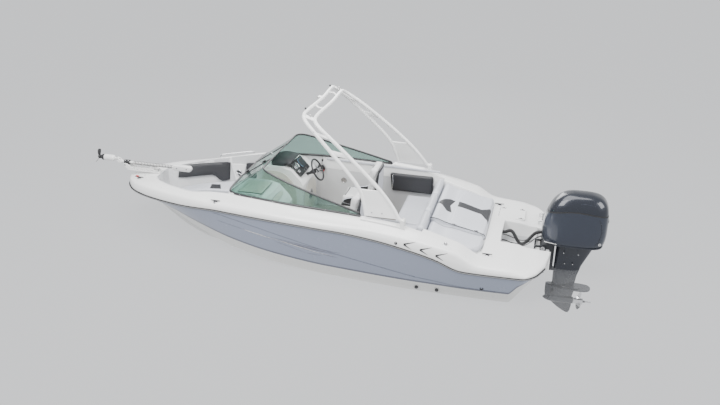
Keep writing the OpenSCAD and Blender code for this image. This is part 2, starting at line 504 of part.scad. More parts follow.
module swivel_bracket() { color([0.08,0.08,0.09]) difference() {
  union() {
    translate([tilt_x, -88, tilt_z]) rotate([-90, 0, 0]) cylinder(h = 176, r = 34);
    xz(-88, 88, [[tilt_x, tilt_z - 30], [tilt_x + 4, tilt_z + 34], [steer_x - 10, tilt_z + 70], [steer_x - 28, tilt_z + 60], [steer_x - 28, tilt_z - 30]]);
    xz(-34, 34, [[tilt_x - 70, tilt_z], [steer_x, tilt_z], [steer_x, 10], [steer_x + 40, 10], [tilt_x - 70, tilt_z - 60]]);
    translate([steer_x, 0, 0]) cylinder(h = tilt_z + 60, r = 44);
  }
  translate([tilt_x, -200, tilt_z]) rotate([-90, 0, 0]) cylinder(h = 400, r = tilt_tube_r + pin_gap);
  translate([steer_x, 0, -10]) cylinder(h = 500, r = steer_tube_r + pin_gap);
  // room for the tilt rod
  box(-3320, tilt_x + 60, -36, 36, 0, tilt_z - 36);
  translate([cyl_x - 52, -36, 200]) cube([60, 72, 90]);
} }
module tilt_cylinder() { color("dimgray") difference() {
  union() {
    translate([cyl_x, -30, cyl_z]) rotate([-90, 0, 0]) cylinder(h = 60, r = 20);
    translate([cyl_x, 0, cyl_z + 10]) rotate([0, -8, 0]) cylinder(h = 165, r = 24);
  }
  translate([cyl_x, -40, cyl_z]) rotate([-90, 0, 0]) cylinder(h = 80, r = 8 + pin_gap);
  translate([cyl_x, 0, cyl_z + 10]) rotate([0, -8, 0]) translate([0, 0, 20]) cylinder(h = 200, r = 9 + pin_gap);
} }
module tilt_rod() { color("silver") translate([cyl_x, 0, cyl_z + 10]) rotate([0, -8, 0]) translate([0, 0, 30]) cylinder(h = 182, r = 9); }

cowl_z = 455; cowl_x0 = -4065; cowl_x1 = -3180;
// [height fraction, forward end, aft end, half-width share]
COWL = [[0, 0.03, 0.05, 0.90], [0.06, 0.01, 0.02, 0.97], [0.25, 0.0, 0.0, 1.0], [0.5, 0.03, 0.0, 0.98], [0.68, 0.08, 0.015, 0.93],
  [0.80, 0.14, 0.04, 0.85], [0.90, 0.22, 0.09, 0.72], [0.965, 0.31, 0.17, 0.54], [1.0, 0.42, 0.28, 0.28]];
function oval(x0, x1, w, z, n = 28) = [for (k = [0:n-1]) let (a = 360*k/n, c = cos(a), s = sin(a), e = 0.62)
  [(x0+x1)/2 + (x1-x0)/2*sign(c)*pow(abs(c), e), w*sign(s)*pow(abs(s), e), z]];
function cowl_rings(g) = [for (r = COWL) let (l = cowl_x1 - cowl_x0)
  oval(cowl_x0 + r[2]*l + g, cowl_x1 - r[1]*l - g, cowl_w/2*r[3] - g, cowl_z + r[0]*(cowl_h - g))];
module cowl() { color([0.3,0.33,0.4]) resize([0,0,0]) difference() {
  loft(cowl_rings(0)); translate([0, 0, -1]) loft(cowl_rings(14)); } }
module engine_block() { color([0.15,0.15,0.16]) box(-3880, -3340, -150, 150, cowl_z + 0.3, cowl_z + 400); }
function foil_ring(x0, x1, w, z, n = 16) = [for (k = [0:n-1]) let (a = 360*k/n, c = cos(a), s = sin(a))
  [(x0+x1)/2 + (x1-x0)/2*c, w*s*(0.75 + 0.25*c), z]];
module outboard_leg() { color([0.22,0.24,0.3]) {
  resize([0,0,0]) union() {
    loft([oval(-4030, -3236, cowl_w/2 - 22, 430), oval(-4035, -3226, cowl_w/2 - 18, cowl_z - 0.3)]);
    difference() {
      loft([foil_ring(-3720, -3405, 62, -262), foil_ring(-3740, -3405, 70, -100), foil_ring(-3780, -3405, 88, 60),
        foil_ring(-3860, -3405, 120, 240), foil_ring(-3940, -3405, 170, 432)]);
      translate([steer_x, 0, -300]) cylinder(h = 1000, r = 44 + move_gap);
    }
    box(-3560, steer_x, -40, 40, 402, 432);
    translate([steer_x, 0, 402]) cylinder(h = 30, r = 40);
    box(-3480, steer_x, -34, 34, -46, -6);
    translate([steer_x, 0, -46]) cylinder(h = 40, r = 36);
    translate([steer_x, 0, -40]) cylinder(h = 450, r = steer_tube_r);
  }
} }
plate_z = -290; shaft_z = plate_z - prop_d/2 - 32; prop_x = -3800; skeg_z = shaft_z - prop_d/2 - 34;
module lower_unit() { color([0.2,0.22,0.28]) {
  resize([0,0,0]) union() {
    linear_extrude_at(plate_z, 14) polygon([[-3330, 0], [-3370, 62], [-3560, 118], [-3880, 122], [-3950, 60], [-3955, 0], [-3950, -60], [-3880, -122], [-3560, -118], [-3370, -62]]);
    loft([foil_ring(-3700, -3330, 26, shaft_z), foil_ring(-3720, -3318, 40, shaft_z + 100), foil_ring(-3740, -3318, 58, plate_z + 28 - 0.3)]);
    translate([0, 0, shaft_z]) loft([for (r = [[-3300, 8], [-3330, 30], [-3390, 50], [-3480, 58], [-3640, 58], [-3735, 50]])
      [for (k = [0:19]) [r[0], r[1]*cos(360*k/20), r[1]*sin(360*k/20)]]]);
    xz(-5, 5, [[-3370, shaft_z], [-3700, shaft_z], [-3725, shaft_z - 60], [-3700, skeg_z], [-3640, skeg_z], [-3470, shaft_z - 100]]);
    translate([-3990, 0, shaft_z]) rotate([0, 90, 0]) cylinder(h = 260, r = 11);
  }
} }
module linear_extrude_at(z, h) translate([0, 0, z]) linear_extrude(h) children();
module propeller() { color("silver") translate([prop_x, 0, shaft_z]) {
  difference() {
    union() {
      translate([-70, 0, 0]) rotate([0, 90, 0]) cylinder(h = 130, r = 46);
      for (a = [0, 120, 240]) rotate([a, 0, 0]) translate([0, 0, 30]) rotate([0, 0, 32])
        translate([-4, 0, 0]) rotate([90, 0, 90]) linear_extrude(8) polygon([[-30, 0], [-62, 50], [-70, prop_d/2 - 78], [-38, prop_d/2 - 40],
          [10, prop_d/2 - 33], [52, prop_d/2 - 52], [58, prop_d/2 - 95], [34, 0]]);
    }
    translate([-200, 0, 0]) rotate([0, 90, 0]) cylinder(h = 400, r = 11 + pin_gap);
  }
} }

// ---------- rigging hose ----------
HOSE = [[-2640.6, -60, 425], [-2668, -60, 425], [-2705, -62, 440], [-2745, -50, 470], [-2790, -30, 455], [-2830, -10, 395], [-2870, 5, 330], [-2920, 15, 300],
  [-2970, 10, 320], [-3020, 0, 380], [-3060, -10, 440], [-3100, -15, 485], [-3140, -18, 505], [-3186, -20, 510]];
module rigging_hose() { color([0.1,0.1,0.1]) sweep(HOSE, 26, 12, [0, 1, 0]); }

// ---------- bow motor ----------
mount_x0 = 2660; mount_w = 130; mount_z = 768; bowm_x = 3235; bowm_z = 850;
module bow_motor_mount() { color("white") {
  box(mount_x0, 3200, -mount_w/2, mount_w/2, mount_z, mount_z + 18);
  both() difference() {
    xz(44, 62, [[3080, mount_z + 18], [3200, mount_z + 18], [3262, bowm_z - 24], [3262, bowm_z + 24], [3200, bowm_z + 24]]);
  }
  translate([bowm_x, -62, bowm_z]) rotate([-90, 0, 0]) cylinder(h = 124, r = 8);
  box(2680, 2760, -30, 30, mount_z + 18, bowm_z - 30);
} }
shaft_off = 10;
module bow_motor_cradle() { color("dimgray") difference() {
  union() {
    translate([bowm_x, -38, bowm_z]) rotate([-90, 0, 0]) cylinder(h = 76, r = 22);
    box(bowm_x - 60, bowm_x + 30, -36, 36, bowm_z - 8, bowm_z + shaft_off + 50);
  }
  translate([bowm_x, -80, bowm_z]) rotate([-90, 0, 0]) cylinder(h = 160, r = 8 + pin_gap);
  translate([bowm_x - 200, 0, bowm_z + shaft_off + 18]) rotate([0, 90, 0]) cylinder(h = 400, r = bow_shaft_d/2 + pin_gap);
} }
sh_z = bowm_z + shaft_off + 18;
module bow_motor_shaft() { color("white") {
  translate([2240, 0, sh_z]) rotate([0, 90, 0]) cylinder(h = 1100, r = bow_shaft_d/2);
  // head
  hull() { for (x = [2180, 2400]) translate([x, 0, sh_z - 4]) rotate([90, 0, 0]) cylinder(h = 76, r = 46, center = true); }
  // clevis at the shaft's end
  both() box(3320, 3400, 20, 30, sh_z - 24, sh_z + 60);
  box(3310, 3340, -30, 30, sh_z - 24, sh_z + 24);
  translate([3380, -30, sh_z + 40]) rotate([-90, 0, 0]) cylinder(h = 60, r = 6);
} }
pod_x = 3380; pod_z = sh_z + 40;
module bow_motor_pod() { color("whitesmoke") difference() {
  union() {
    translate([pod_x, -14, pod_z]) rotate([-90, 0, 0]) cylinder(h = 28, r = 18);
    box(pod_x, pod_x + 60, -14, 14, pod_z - 14, pod_z + 14);
    translate([pod_x + 50, 0, pod_z]) rotate([0, 90, 0]) cylinder(h = 230, r = pod_d/2);
    translate([pod_x + 270, 0, pod_z]) rotate([0, 90, 0]) cylinder(h = 60, r = 8);
  }
  translate([pod_x, -40, pod_z]) rotate([-90, 0, 0]) cylinder(h = 80, r = 6 + pin_gap);
} }
module bow_motor_propeller() { color([0.1,0.1,0.11]) translate([pod_x + 296, 0, pod_z]) difference() {
  union() {
    rotate([0, 90, 0]) cylinder(h = 44, r = 30);
    for (a = [0, 120, 240]) rotate([a, 0, 0]) translate([22, 0, 20]) rotate([0, 0, 30])
      translate([-3, -22, 0]) cube([6, 44, pod_prop_d/2 - 24]);
  }
  translate([-10, 0, 0]) rotate([0, 90, 0]) cylinder(h = 80, r = 8 + pin_gap);
} }

boat_hull();  // hull
deck();
rub_rail();
cockpit_liner();
bow_liner();
helm_console();
port_console();
dash_panel();
throttle();
windshield_frame();
port_glass();
starboard_glass();
centre_window();
bow_cushions();
bow_backrests();
side_pads();
aft_bench_cushion();
aft_backrest();
sunpad();
walkway_cushion();
swim_ladder();
stern_hatch_lid();
cleats();
bow_grab_rail();
seat_pedestals();
helm_seat();
helm_seat_cushion();
port_seat();
port_seat_cushion();
steering_wheel();
arch_feet();
arch_frame();
port_arch_panel();
starboard_arch_panel();
clamp_bracket();
swivel_bracket();
tilt_cylinder();
tilt_rod();
engine_block();
cowl();
outboard_leg();
lower_unit();
propeller();
rigging_hose();
bow_motor_mount();
bow_motor_cradle();
bow_motor_shaft();
bow_motor_pod();
bow_motor_propeller();
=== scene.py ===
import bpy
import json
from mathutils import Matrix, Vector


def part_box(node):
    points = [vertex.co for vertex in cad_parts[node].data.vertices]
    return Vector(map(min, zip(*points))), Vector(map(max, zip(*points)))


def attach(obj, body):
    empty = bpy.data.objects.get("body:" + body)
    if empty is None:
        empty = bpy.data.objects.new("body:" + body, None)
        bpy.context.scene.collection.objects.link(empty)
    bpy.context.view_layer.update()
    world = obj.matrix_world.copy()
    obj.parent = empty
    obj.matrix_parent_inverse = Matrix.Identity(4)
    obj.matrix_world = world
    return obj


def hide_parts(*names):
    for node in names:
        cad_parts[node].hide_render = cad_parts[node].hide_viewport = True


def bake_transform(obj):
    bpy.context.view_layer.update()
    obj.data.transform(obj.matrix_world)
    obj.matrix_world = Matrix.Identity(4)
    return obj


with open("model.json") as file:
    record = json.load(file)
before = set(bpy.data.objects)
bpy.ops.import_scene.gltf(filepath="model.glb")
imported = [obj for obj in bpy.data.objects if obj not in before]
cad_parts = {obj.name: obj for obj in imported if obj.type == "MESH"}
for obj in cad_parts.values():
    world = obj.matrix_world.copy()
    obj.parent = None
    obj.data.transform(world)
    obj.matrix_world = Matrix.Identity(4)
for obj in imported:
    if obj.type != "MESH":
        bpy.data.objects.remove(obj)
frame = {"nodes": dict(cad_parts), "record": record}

"""Looks for the outboard bowrider runabout: hull, deck, cockpit, arch, outboard and bow motor."""

import json
import logging
import math
from dataclasses import dataclass, field
from enum import Enum
from typing import Callable, Iterable, Optional, Sequence

import bmesh
import bpy
from mathutils import Matrix, Vector

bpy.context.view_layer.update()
log = logging.getLogger("runabout")
Point = tuple[float, float, float]
MM = 0.001


# ------------------------------------------------------------------ finishes
class Figure(Enum):
    """The small pattern that breaks up a finish."""
    MOTTLE = "mottle"
    PEEL = "peel"
    GRAIN = "grain"
    WEAVE = "weave"
    BRUSHED = "brushed"
    FLAKE = "flake"
    TREAD = "tread"


@dataclass(frozen=True)
class Finish:
    """A surface: its shader values and the pattern in its colour, roughness and bump."""
    name: str
    color: tuple[float, float, float]
    rough: float = 0.45
    metal: float = 0.0
    coat: float = 0.0
    sheen: float = 0.0
    figure: Figure = Figure.MOTTLE
    scale: float = 60.0
    depth: float = 0.0004
    vary: float = 0.06
    glow: float = 0.0
    clear: float = 0.0
    ior: float = 1.5

    def material(self) -> bpy.types.Material:
        """The finish as a node material, made once and then shared.

        Returns:
            The material.
        """
        found = bpy.data.materials.get(self.name)
        if found:
            return found
        mat = bpy.data.materials.new(self.name)
        mat.use_nodes = True
        tree = mat.node_tree
        bsdf = tree.nodes["Principled BSDF"]
        for socket, value in (("Roughness", self.rough), ("Metallic", self.metal), ("IOR", self.ior),
                              ("Coat Weight", self.coat), ("Sheen Weight", self.sheen),
                              ("Transmission Weight", self.clear)):
            bsdf.inputs[socket].default_value = value
        if self.coat:
            bsdf.inputs["Coat Roughness"].default_value = 0.06
        if self.glow:
            bsdf.inputs["Emission Color"].default_value = (*self.color, 1)
            bsdf.inputs["Emission Strength"].default_value = self.glow
        coords = tree.nodes.new("ShaderNodeTexCoord").outputs["Object"]
        height, tint = self._pattern(tree, coords)
        self._tint(tree, bsdf, tint)
        wear = tree.nodes.new("ShaderNodeTexNoise")
        wear.inputs["Scale"].default_value = 7.0
        tree.links.new(coords, wear.inputs["Vector"])
        span = tree.nodes.new("ShaderNodeMapRange")
        span.inputs["To Min"].default_value = max(0.02, self.rough * 0.85)
        span.inputs["To Max"].default_value = min(1.0, self.rough * 1.15)
        tree.links.new(wear.outputs["Fac"], span.inputs["Value"])
        tree.links.new(span.outputs["Result"], bsdf.inputs["Roughness"])
        bump = tree.nodes.new("ShaderNodeBump")
        bump.inputs["Distance"].default_value = self.depth
        bump.inputs["Strength"].default_value = 0.6
        tree.links.new(height, bump.inputs["Height"])
        tree.links.new(bump.outputs["Normal"], bsdf.inputs["Normal"])
        mat.diffuse_color = (*self.color, 1)
        return mat

    def _noise(self, tree: bpy.types.NodeTree, coords: bpy.types.NodeSocket, scale: float,
               stretch: Point = (1, 1, 1), detail: float = 3.0) -> bpy.types.NodeSocket:
        """A noise value over Object coordinates, stretched along an axis where asked.

        Args:
            tree: the material's node tree.
            coords: Object coordinates.
            scale: features per metre, roughly.
            stretch: how much denser the noise is along each axis.
            detail: octaves of the noise.

        Returns:
            The noise's value socket.
        """
        place = tree.nodes.new("ShaderNodeMapping")
        place.inputs["Scale"].default_value = stretch
        tree.links.new(coords, place.inputs["Vector"])
        noise = tree.nodes.new("ShaderNodeTexNoise")
        noise.inputs["Scale"].default_value = scale
        noise.inputs["Detail"].default_value = detail
        tree.links.new(place.outputs["Vector"], noise.inputs["Vector"])
        return noise.outputs["Fac"]

    def _cells(self, tree: bpy.types.NodeTree, coords: bpy.types.NodeSocket, scale: float,
               output: str = "Distance") -> bpy.types.NodeSocket:
        """A Voronoi value or colour over Object coordinates.

        Args:
            tree: the material's node tree.
            coords: Object coordinates.
            scale: cells per metre, roughly.
            output: the texture's output that is read.

        Returns:
            That output socket.
        """
        cells = tree.nodes.new("ShaderNodeTexVoronoi")
        cells.inputs["Scale"].default_value = scale
        tree.links.new(coords, cells.inputs["Vector"])
        return cells.outputs[output]

    def _pattern(self, tree: bpy.types.NodeTree,
                 coords: bpy.types.NodeSocket) -> tuple[bpy.types.NodeSocket, bpy.types.NodeSocket]:
        """Height and tint values of the finish's figure.

        Args:
            tree: the material's node tree.
            coords: Object coordinates.

        Returns:
            The socket for the bump's height and the one that mixes the two tints.
        """
        broad = self._noise(tree, coords, 2.5)
        if self.figure is Figure.GRAIN:
            return self._cells(tree, coords, self.scale), broad
        if self.figure is Figure.BRUSHED:
            fine = self._noise(tree, coords, self.scale, (1, 18, 18), 4.0)
            return fine, fine
        if self.figure is Figure.FLAKE:
            split = tree.nodes.new("ShaderNodeSeparateColor")
            tree.links.new(self._cells(tree, coords, self.scale, "Color"), split.inputs["Color"])
            return self._noise(tree, coords, 90.0), split.outputs["Red"]
        if self.figure in (Figure.WEAVE, Figure.TREAD):
            waves = []
            for direction in ("X", "Y"):
                wave = tree.nodes.new("ShaderNodeTexWave")
                wave.bands_direction = direction
                wave.inputs["Scale"].default_value = self.scale
                wave.inputs["Distortion"].default_value = 0.6 if self.figure is Figure.WEAVE else 0.0
                tree.links.new(coords, wave.inputs["Vector"])
                waves.append(wave.outputs["Fac"])
            both = tree.nodes.new("ShaderNodeMath")
            both.operation = "MULTIPLY"
            tree.links.new(waves[0], both.inputs[0])
            tree.links.new(waves[1], both.inputs[1])
            return both.outputs["Value"], both.outputs["Value"]
        return self._noise(tree, coords, self.scale), broad

    def _tint(self, tree: bpy.types.NodeTree, bsdf: bpy.types.Node, value: bpy.types.NodeSocket) -> None:
        """Mixes a darker and a lighter tint of the colour by the figure's value.

        Args:
            tree: the material's node tree.
            bsdf: the shader whose base colour is fed.
            value: the socket that mixes the two tints.
        """
        mix = tree.nodes.new("ShaderNodeMix")
        mix.data_type = "RGBA"
        mix.inputs["A"].default_value = (*(c * (1 - self.vary) for c in self.color), 1)
        mix.inputs["B"].default_value = (*(min(1.0, c * (1 + self.vary)) for c in self.color), 1)
        tree.links.new(value, mix.inputs["Factor"])
        tree.links.new(mix.outputs["Result"], bsdf.inputs["Base Color"])


GELCOAT = Finish("white gelcoat", (0.86, 0.86, 0.85), 0.22, coat=0.5, figure=Figure.PEEL, scale=38,
                 depth=0.0003, vary=0.02)
HULL_GREY = Finish("blue grey gelcoat", (0.262, 0.292, 0.375), 0.26, coat=0.6, figure=Figure.FLAKE,
                   scale=900, depth=0.0002, vary=0.07)
HULL_LINE = Finish("dark hull line", (0.115, 0.125, 0.165), 0.28, coat=0.6, figure=Figure.PEEL,
                   depth=0.0002)
HULL_BAND = Finish("pale hull band", (0.66, 0.66, 0.645), 0.28, coat=0.5, figure=Figure.PEEL, scale=40,
                   depth=0.0003, vary=0.03)
STREAK_PALE = Finish("pale streak film", (0.62, 0.62, 0.64), 0.3, coat=0.4, depth=0.0001)
STREAK_DARK = Finish("dark streak film", (0.10, 0.075, 0.09), 0.3, coat=0.4, depth=0.0001)
LINER = Finish("liner gelcoat", (0.62, 0.625, 0.63), 0.32, coat=0.3, figure=Figure.PEEL, scale=45,
               depth=0.0003, vary=0.03)
NONSKID = Finish("moulded non-skid", (0.74, 0.74, 0.73), 0.55, figure=Figure.TREAD, scale=95, depth=0.0012,
                 vary=0.03)
WOVEN = Finish("woven cockpit matting", (0.30, 0.275, 0.245), 0.85, sheen=0.2, figure=Figure.WEAVE,
               scale=70, depth=0.0016, vary=0.28)
VINYL_LIGHT = Finish("cool grey marine vinyl", (0.56, 0.575, 0.62), 0.48, sheen=0.12, figure=Figure.GRAIN,
                     scale=520, depth=0.0005, vary=0.04)
VINYL_WHITE = Finish("white marine vinyl", (0.70, 0.70, 0.70), 0.46, sheen=0.12, figure=Figure.GRAIN,
                     scale=520, depth=0.0005, vary=0.03)
VINYL_DARK = Finish("charcoal marine vinyl", (0.026, 0.0265, 0.030), 0.52, sheen=0.02, figure=Figure.GRAIN,
                    scale=420, depth=0.0007, vary=0.12)
PIPING = Finish("grey piping", (0.30, 0.31, 0.33), 0.5, figure=Figure.GRAIN, scale=600, depth=0.0003)
FRAME_BLACK = Finish("black powder coat", (0.018, 0.018, 0.02), 0.36, coat=0.25, figure=Figure.PEEL,
                     scale=420, depth=0.0003, vary=0.15)
GLASS = Finish("green tinted glass", (0.36, 0.52, 0.47), 0.03, clear=0.94, figure=Figure.PEEL, scale=8,
               depth=0.00005, vary=0.02, ior=1.1)
STAINLESS = Finish("polished stainless", (0.66, 0.66, 0.67), 0.14, metal=1.0, figure=Figure.BRUSHED,
                   scale=60, depth=0.0001, vary=0.05)
BRUSHED = Finish("brushed steel", (0.50, 0.50, 0.51), 0.3, metal=1.0, figure=Figure.BRUSHED, scale=140,
                 depth=0.0002, vary=0.12)
ARCH_WHITE = Finish("white powder coat", (0.83, 0.83, 0.82), 0.3, coat=0.35, figure=Figure.PEEL, scale=320,
                    depth=0.0002, vary=0.02)
ENGINE_PAINT = Finish("metallic slate paint", (0.020, 0.026, 0.042), 0.3, metal=0.5, coat=0.7,
                      figure=Figure.FLAKE, scale=1400, depth=0.0002, vary=0.35)
ENGINE_CAP = Finish("metallic dark cap paint", (0.010, 0.013, 0.022), 0.28, metal=0.45, coat=0.7,
                    figure=Figure.FLAKE, scale=1400, depth=0.0002, vary=0.35)
CAST = Finish("cast alloy", (0.045, 0.047, 0.052), 0.6, metal=0.4, figure=Figure.PEEL, scale=240,
              depth=0.0008, vary=0.15)
BLACK_PLASTIC = Finish("black moulded plastic", (0.022, 0.022, 0.024), 0.5, figure=Figure.GRAIN, scale=700,
                       depth=0.0003, vary=0.15)
SOFT_DASH = Finish("dark soft dash skin", (0.03, 0.031, 0.034), 0.62, figure=Figure.GRAIN, scale=480,
                   depth=0.0006, vary=0.12)
RUBBER = Finish("black rubber", (0.016, 0.016, 0.017), 0.6, figure=Figure.PEEL, scale=300, depth=0.0004,
                vary=0.18)
WHITE_PLASTIC = Finish("white moulded plastic", (0.78, 0.78, 0.77), 0.34, coat=0.2, figure=Figure.PEEL,
                       scale=160, depth=0.0003, vary=0.025)
SCREEN = Finish("lit display", (0.22, 0.55, 0.85), 0.2, glow=1.3, figure=Figure.MOTTLE, scale=14,
                depth=0.00002, vary=0.35)
SCREEN_DARK = Finish("display shore shape", (0.05, 0.16, 0.30), 0.2, glow=0.6, depth=0.00002)
RED = Finish("red plastic", (0.55, 0.02, 0.02), 0.4, figure=Figure.PEEL, scale=200, depth=0.0002)
GREEN_LENS = Finish("green lens", (0.02, 0.35, 0.08), 0.15, coat=0.5, depth=0.0001)
CREAM = Finish("cream moulded panel", (0.66, 0.64, 0.57), 0.4, coat=0.2, figure=Figure.PEEL, scale=80,
               depth=0.0003, vary=0.03)
CONSOLE_GREY = Finish("grey console gelcoat", (0.42, 0.425, 0.43), 0.38, coat=0.3, figure=Figure.PEEL,
                      scale=60, depth=0.0003, vary=0.03)
LAMP = Finish("lamp lens", (0.85, 0.87, 0.90), 0.12, coat=0.5, depth=0.0001)

SLOT_FINISH: dict[str, Finish] = {"hull": HULL_GREY, "deck": GELCOAT, "trim": RUBBER, "liner": LINER,
                                  "dash": SOFT_DASH, "console": GELCOAT, "frame_black": FRAME_BLACK,
                                  "glass": GLASS, "vinyl_light": VINYL_LIGHT, "vinyl_dark": VINYL_DARK,
                                  "stainless": STAINLESS, "arch_white": ARCH_WHITE, "bracket_black": CAST,
                                  "engine_paint": ENGINE_PAINT, "engine_cast": CAST, "steel": BRUSHED,
                                  "hose": RUBBER, "white_plastic": WHITE_PLASTIC,
                                  "black_plastic": BLACK_PLASTIC}


def dress_cad_nodes() -> None:
    """Gives every carried-over CAD node the finish of its own slot."""
    slots = {part["node"]: part["material_slot"] for part in frame["record"]["subparts"]}
    for name, obj in frame["nodes"].items():
        finish = SLOT_FINISH.get(slots.get(name) or "", GELCOAT)
        obj.data.materials.clear()
        obj.data.materials.append(finish.material())


# ------------------------------------------------------------------ bench
@dataclass(frozen=True)
class Fair:
    """A fair line through stations given in millimetres, without overshoot between them."""
    stations: tuple[tuple[float, float], ...]

    def at(self, x: float) -> float:
        """The line's value at x, both in millimetres.

        Args:
            x: the station, in millimetres.

        Returns:
            The value there, held level past both ends.
        """
        pts = self.stations
        if x <= pts[0][0]:
            return pts[0][1]
        if x >= pts[-1][0]:
            return pts[-1][1]
        i = max(k for k in range(len(pts) - 1) if pts[k][0] <= x)
        (x0, y0), (x1, y1) = pts[i], pts[i + 1]
        h = x1 - x0
        here = (y1 - y0) / h
        before = (y0 - pts[i - 1][1]) / (x0 - pts[i - 1][0]) if i else here
        after = (pts[i + 2][1] - y1) / (pts[i + 2][0] - x1) if i + 2 < len(pts) else here
        start, end = self._slope(before, here), self._slope(here, after)
        t = (x - x0) / h
        return (y0 * (2 * t**3 - 3 * t**2 + 1) + h * start * (t**3 - 2 * t**2 + t)
                + y1 * (3 * t**2 - 2 * t**3) + h * end * (t**3 - t**2))

    @staticmethod
    def _slope(a: float, b: float) -> float:
        """A slope between two chords that never overshoots: their harmonic mean."""
        return 0.0 if a * b <= 0 else 2 * a * b / (a + b)


def chaikin(points: Sequence[Vector], times: int = 2, closed: bool = False) -> list[Vector]:
    """Rounds a chain of points by cutting its corners, with its ends kept.

    Args:
        points: the chain or ring of points.
        times: how many times the corners are cut.
        closed: whether the points form a ring.

    Returns:
        The rounded chain.
    """
    pts = [Vector(p) for p in points]
    for _ in range(times):
        pairs = list(zip(pts, pts[1:] + (pts[:1] if closed else [])))
        cut = [q for a, b in pairs for q in (a.lerp(b, 0.25), a.lerp(b, 0.75))]
        pts = cut if closed else [pts[0], *cut[1:-1], pts[-1]]
    return pts


def circle(centre: Vector, radius: float, normal: Vector, count: int = 24, turn: float = 0.0,
           squash: float = 1.0) -> list[Vector]:
    """Points round a circle or an ellipse about a normal.

    Args:
        centre: its centre.
        radius: its radius.
        normal: the direction that it faces.
        count: how many points it has.
        turn: the angle of its first point, in radians.
        squash: its second half axis as a share of the first.

    Returns:
        The points in order.
    """
    normal = normal.normalized()
    side = normal.cross(Vector((0, 0, 1)) if abs(normal.z) < 0.9 else Vector((1, 0, 0))).normalized()
    up = side.cross(normal)
    return [centre + side * radius * math.cos(turn + 2 * math.pi * k / count)
            + up * radius * squash * math.sin(turn + 2 * math.pi * k / count) for k in range(count)]


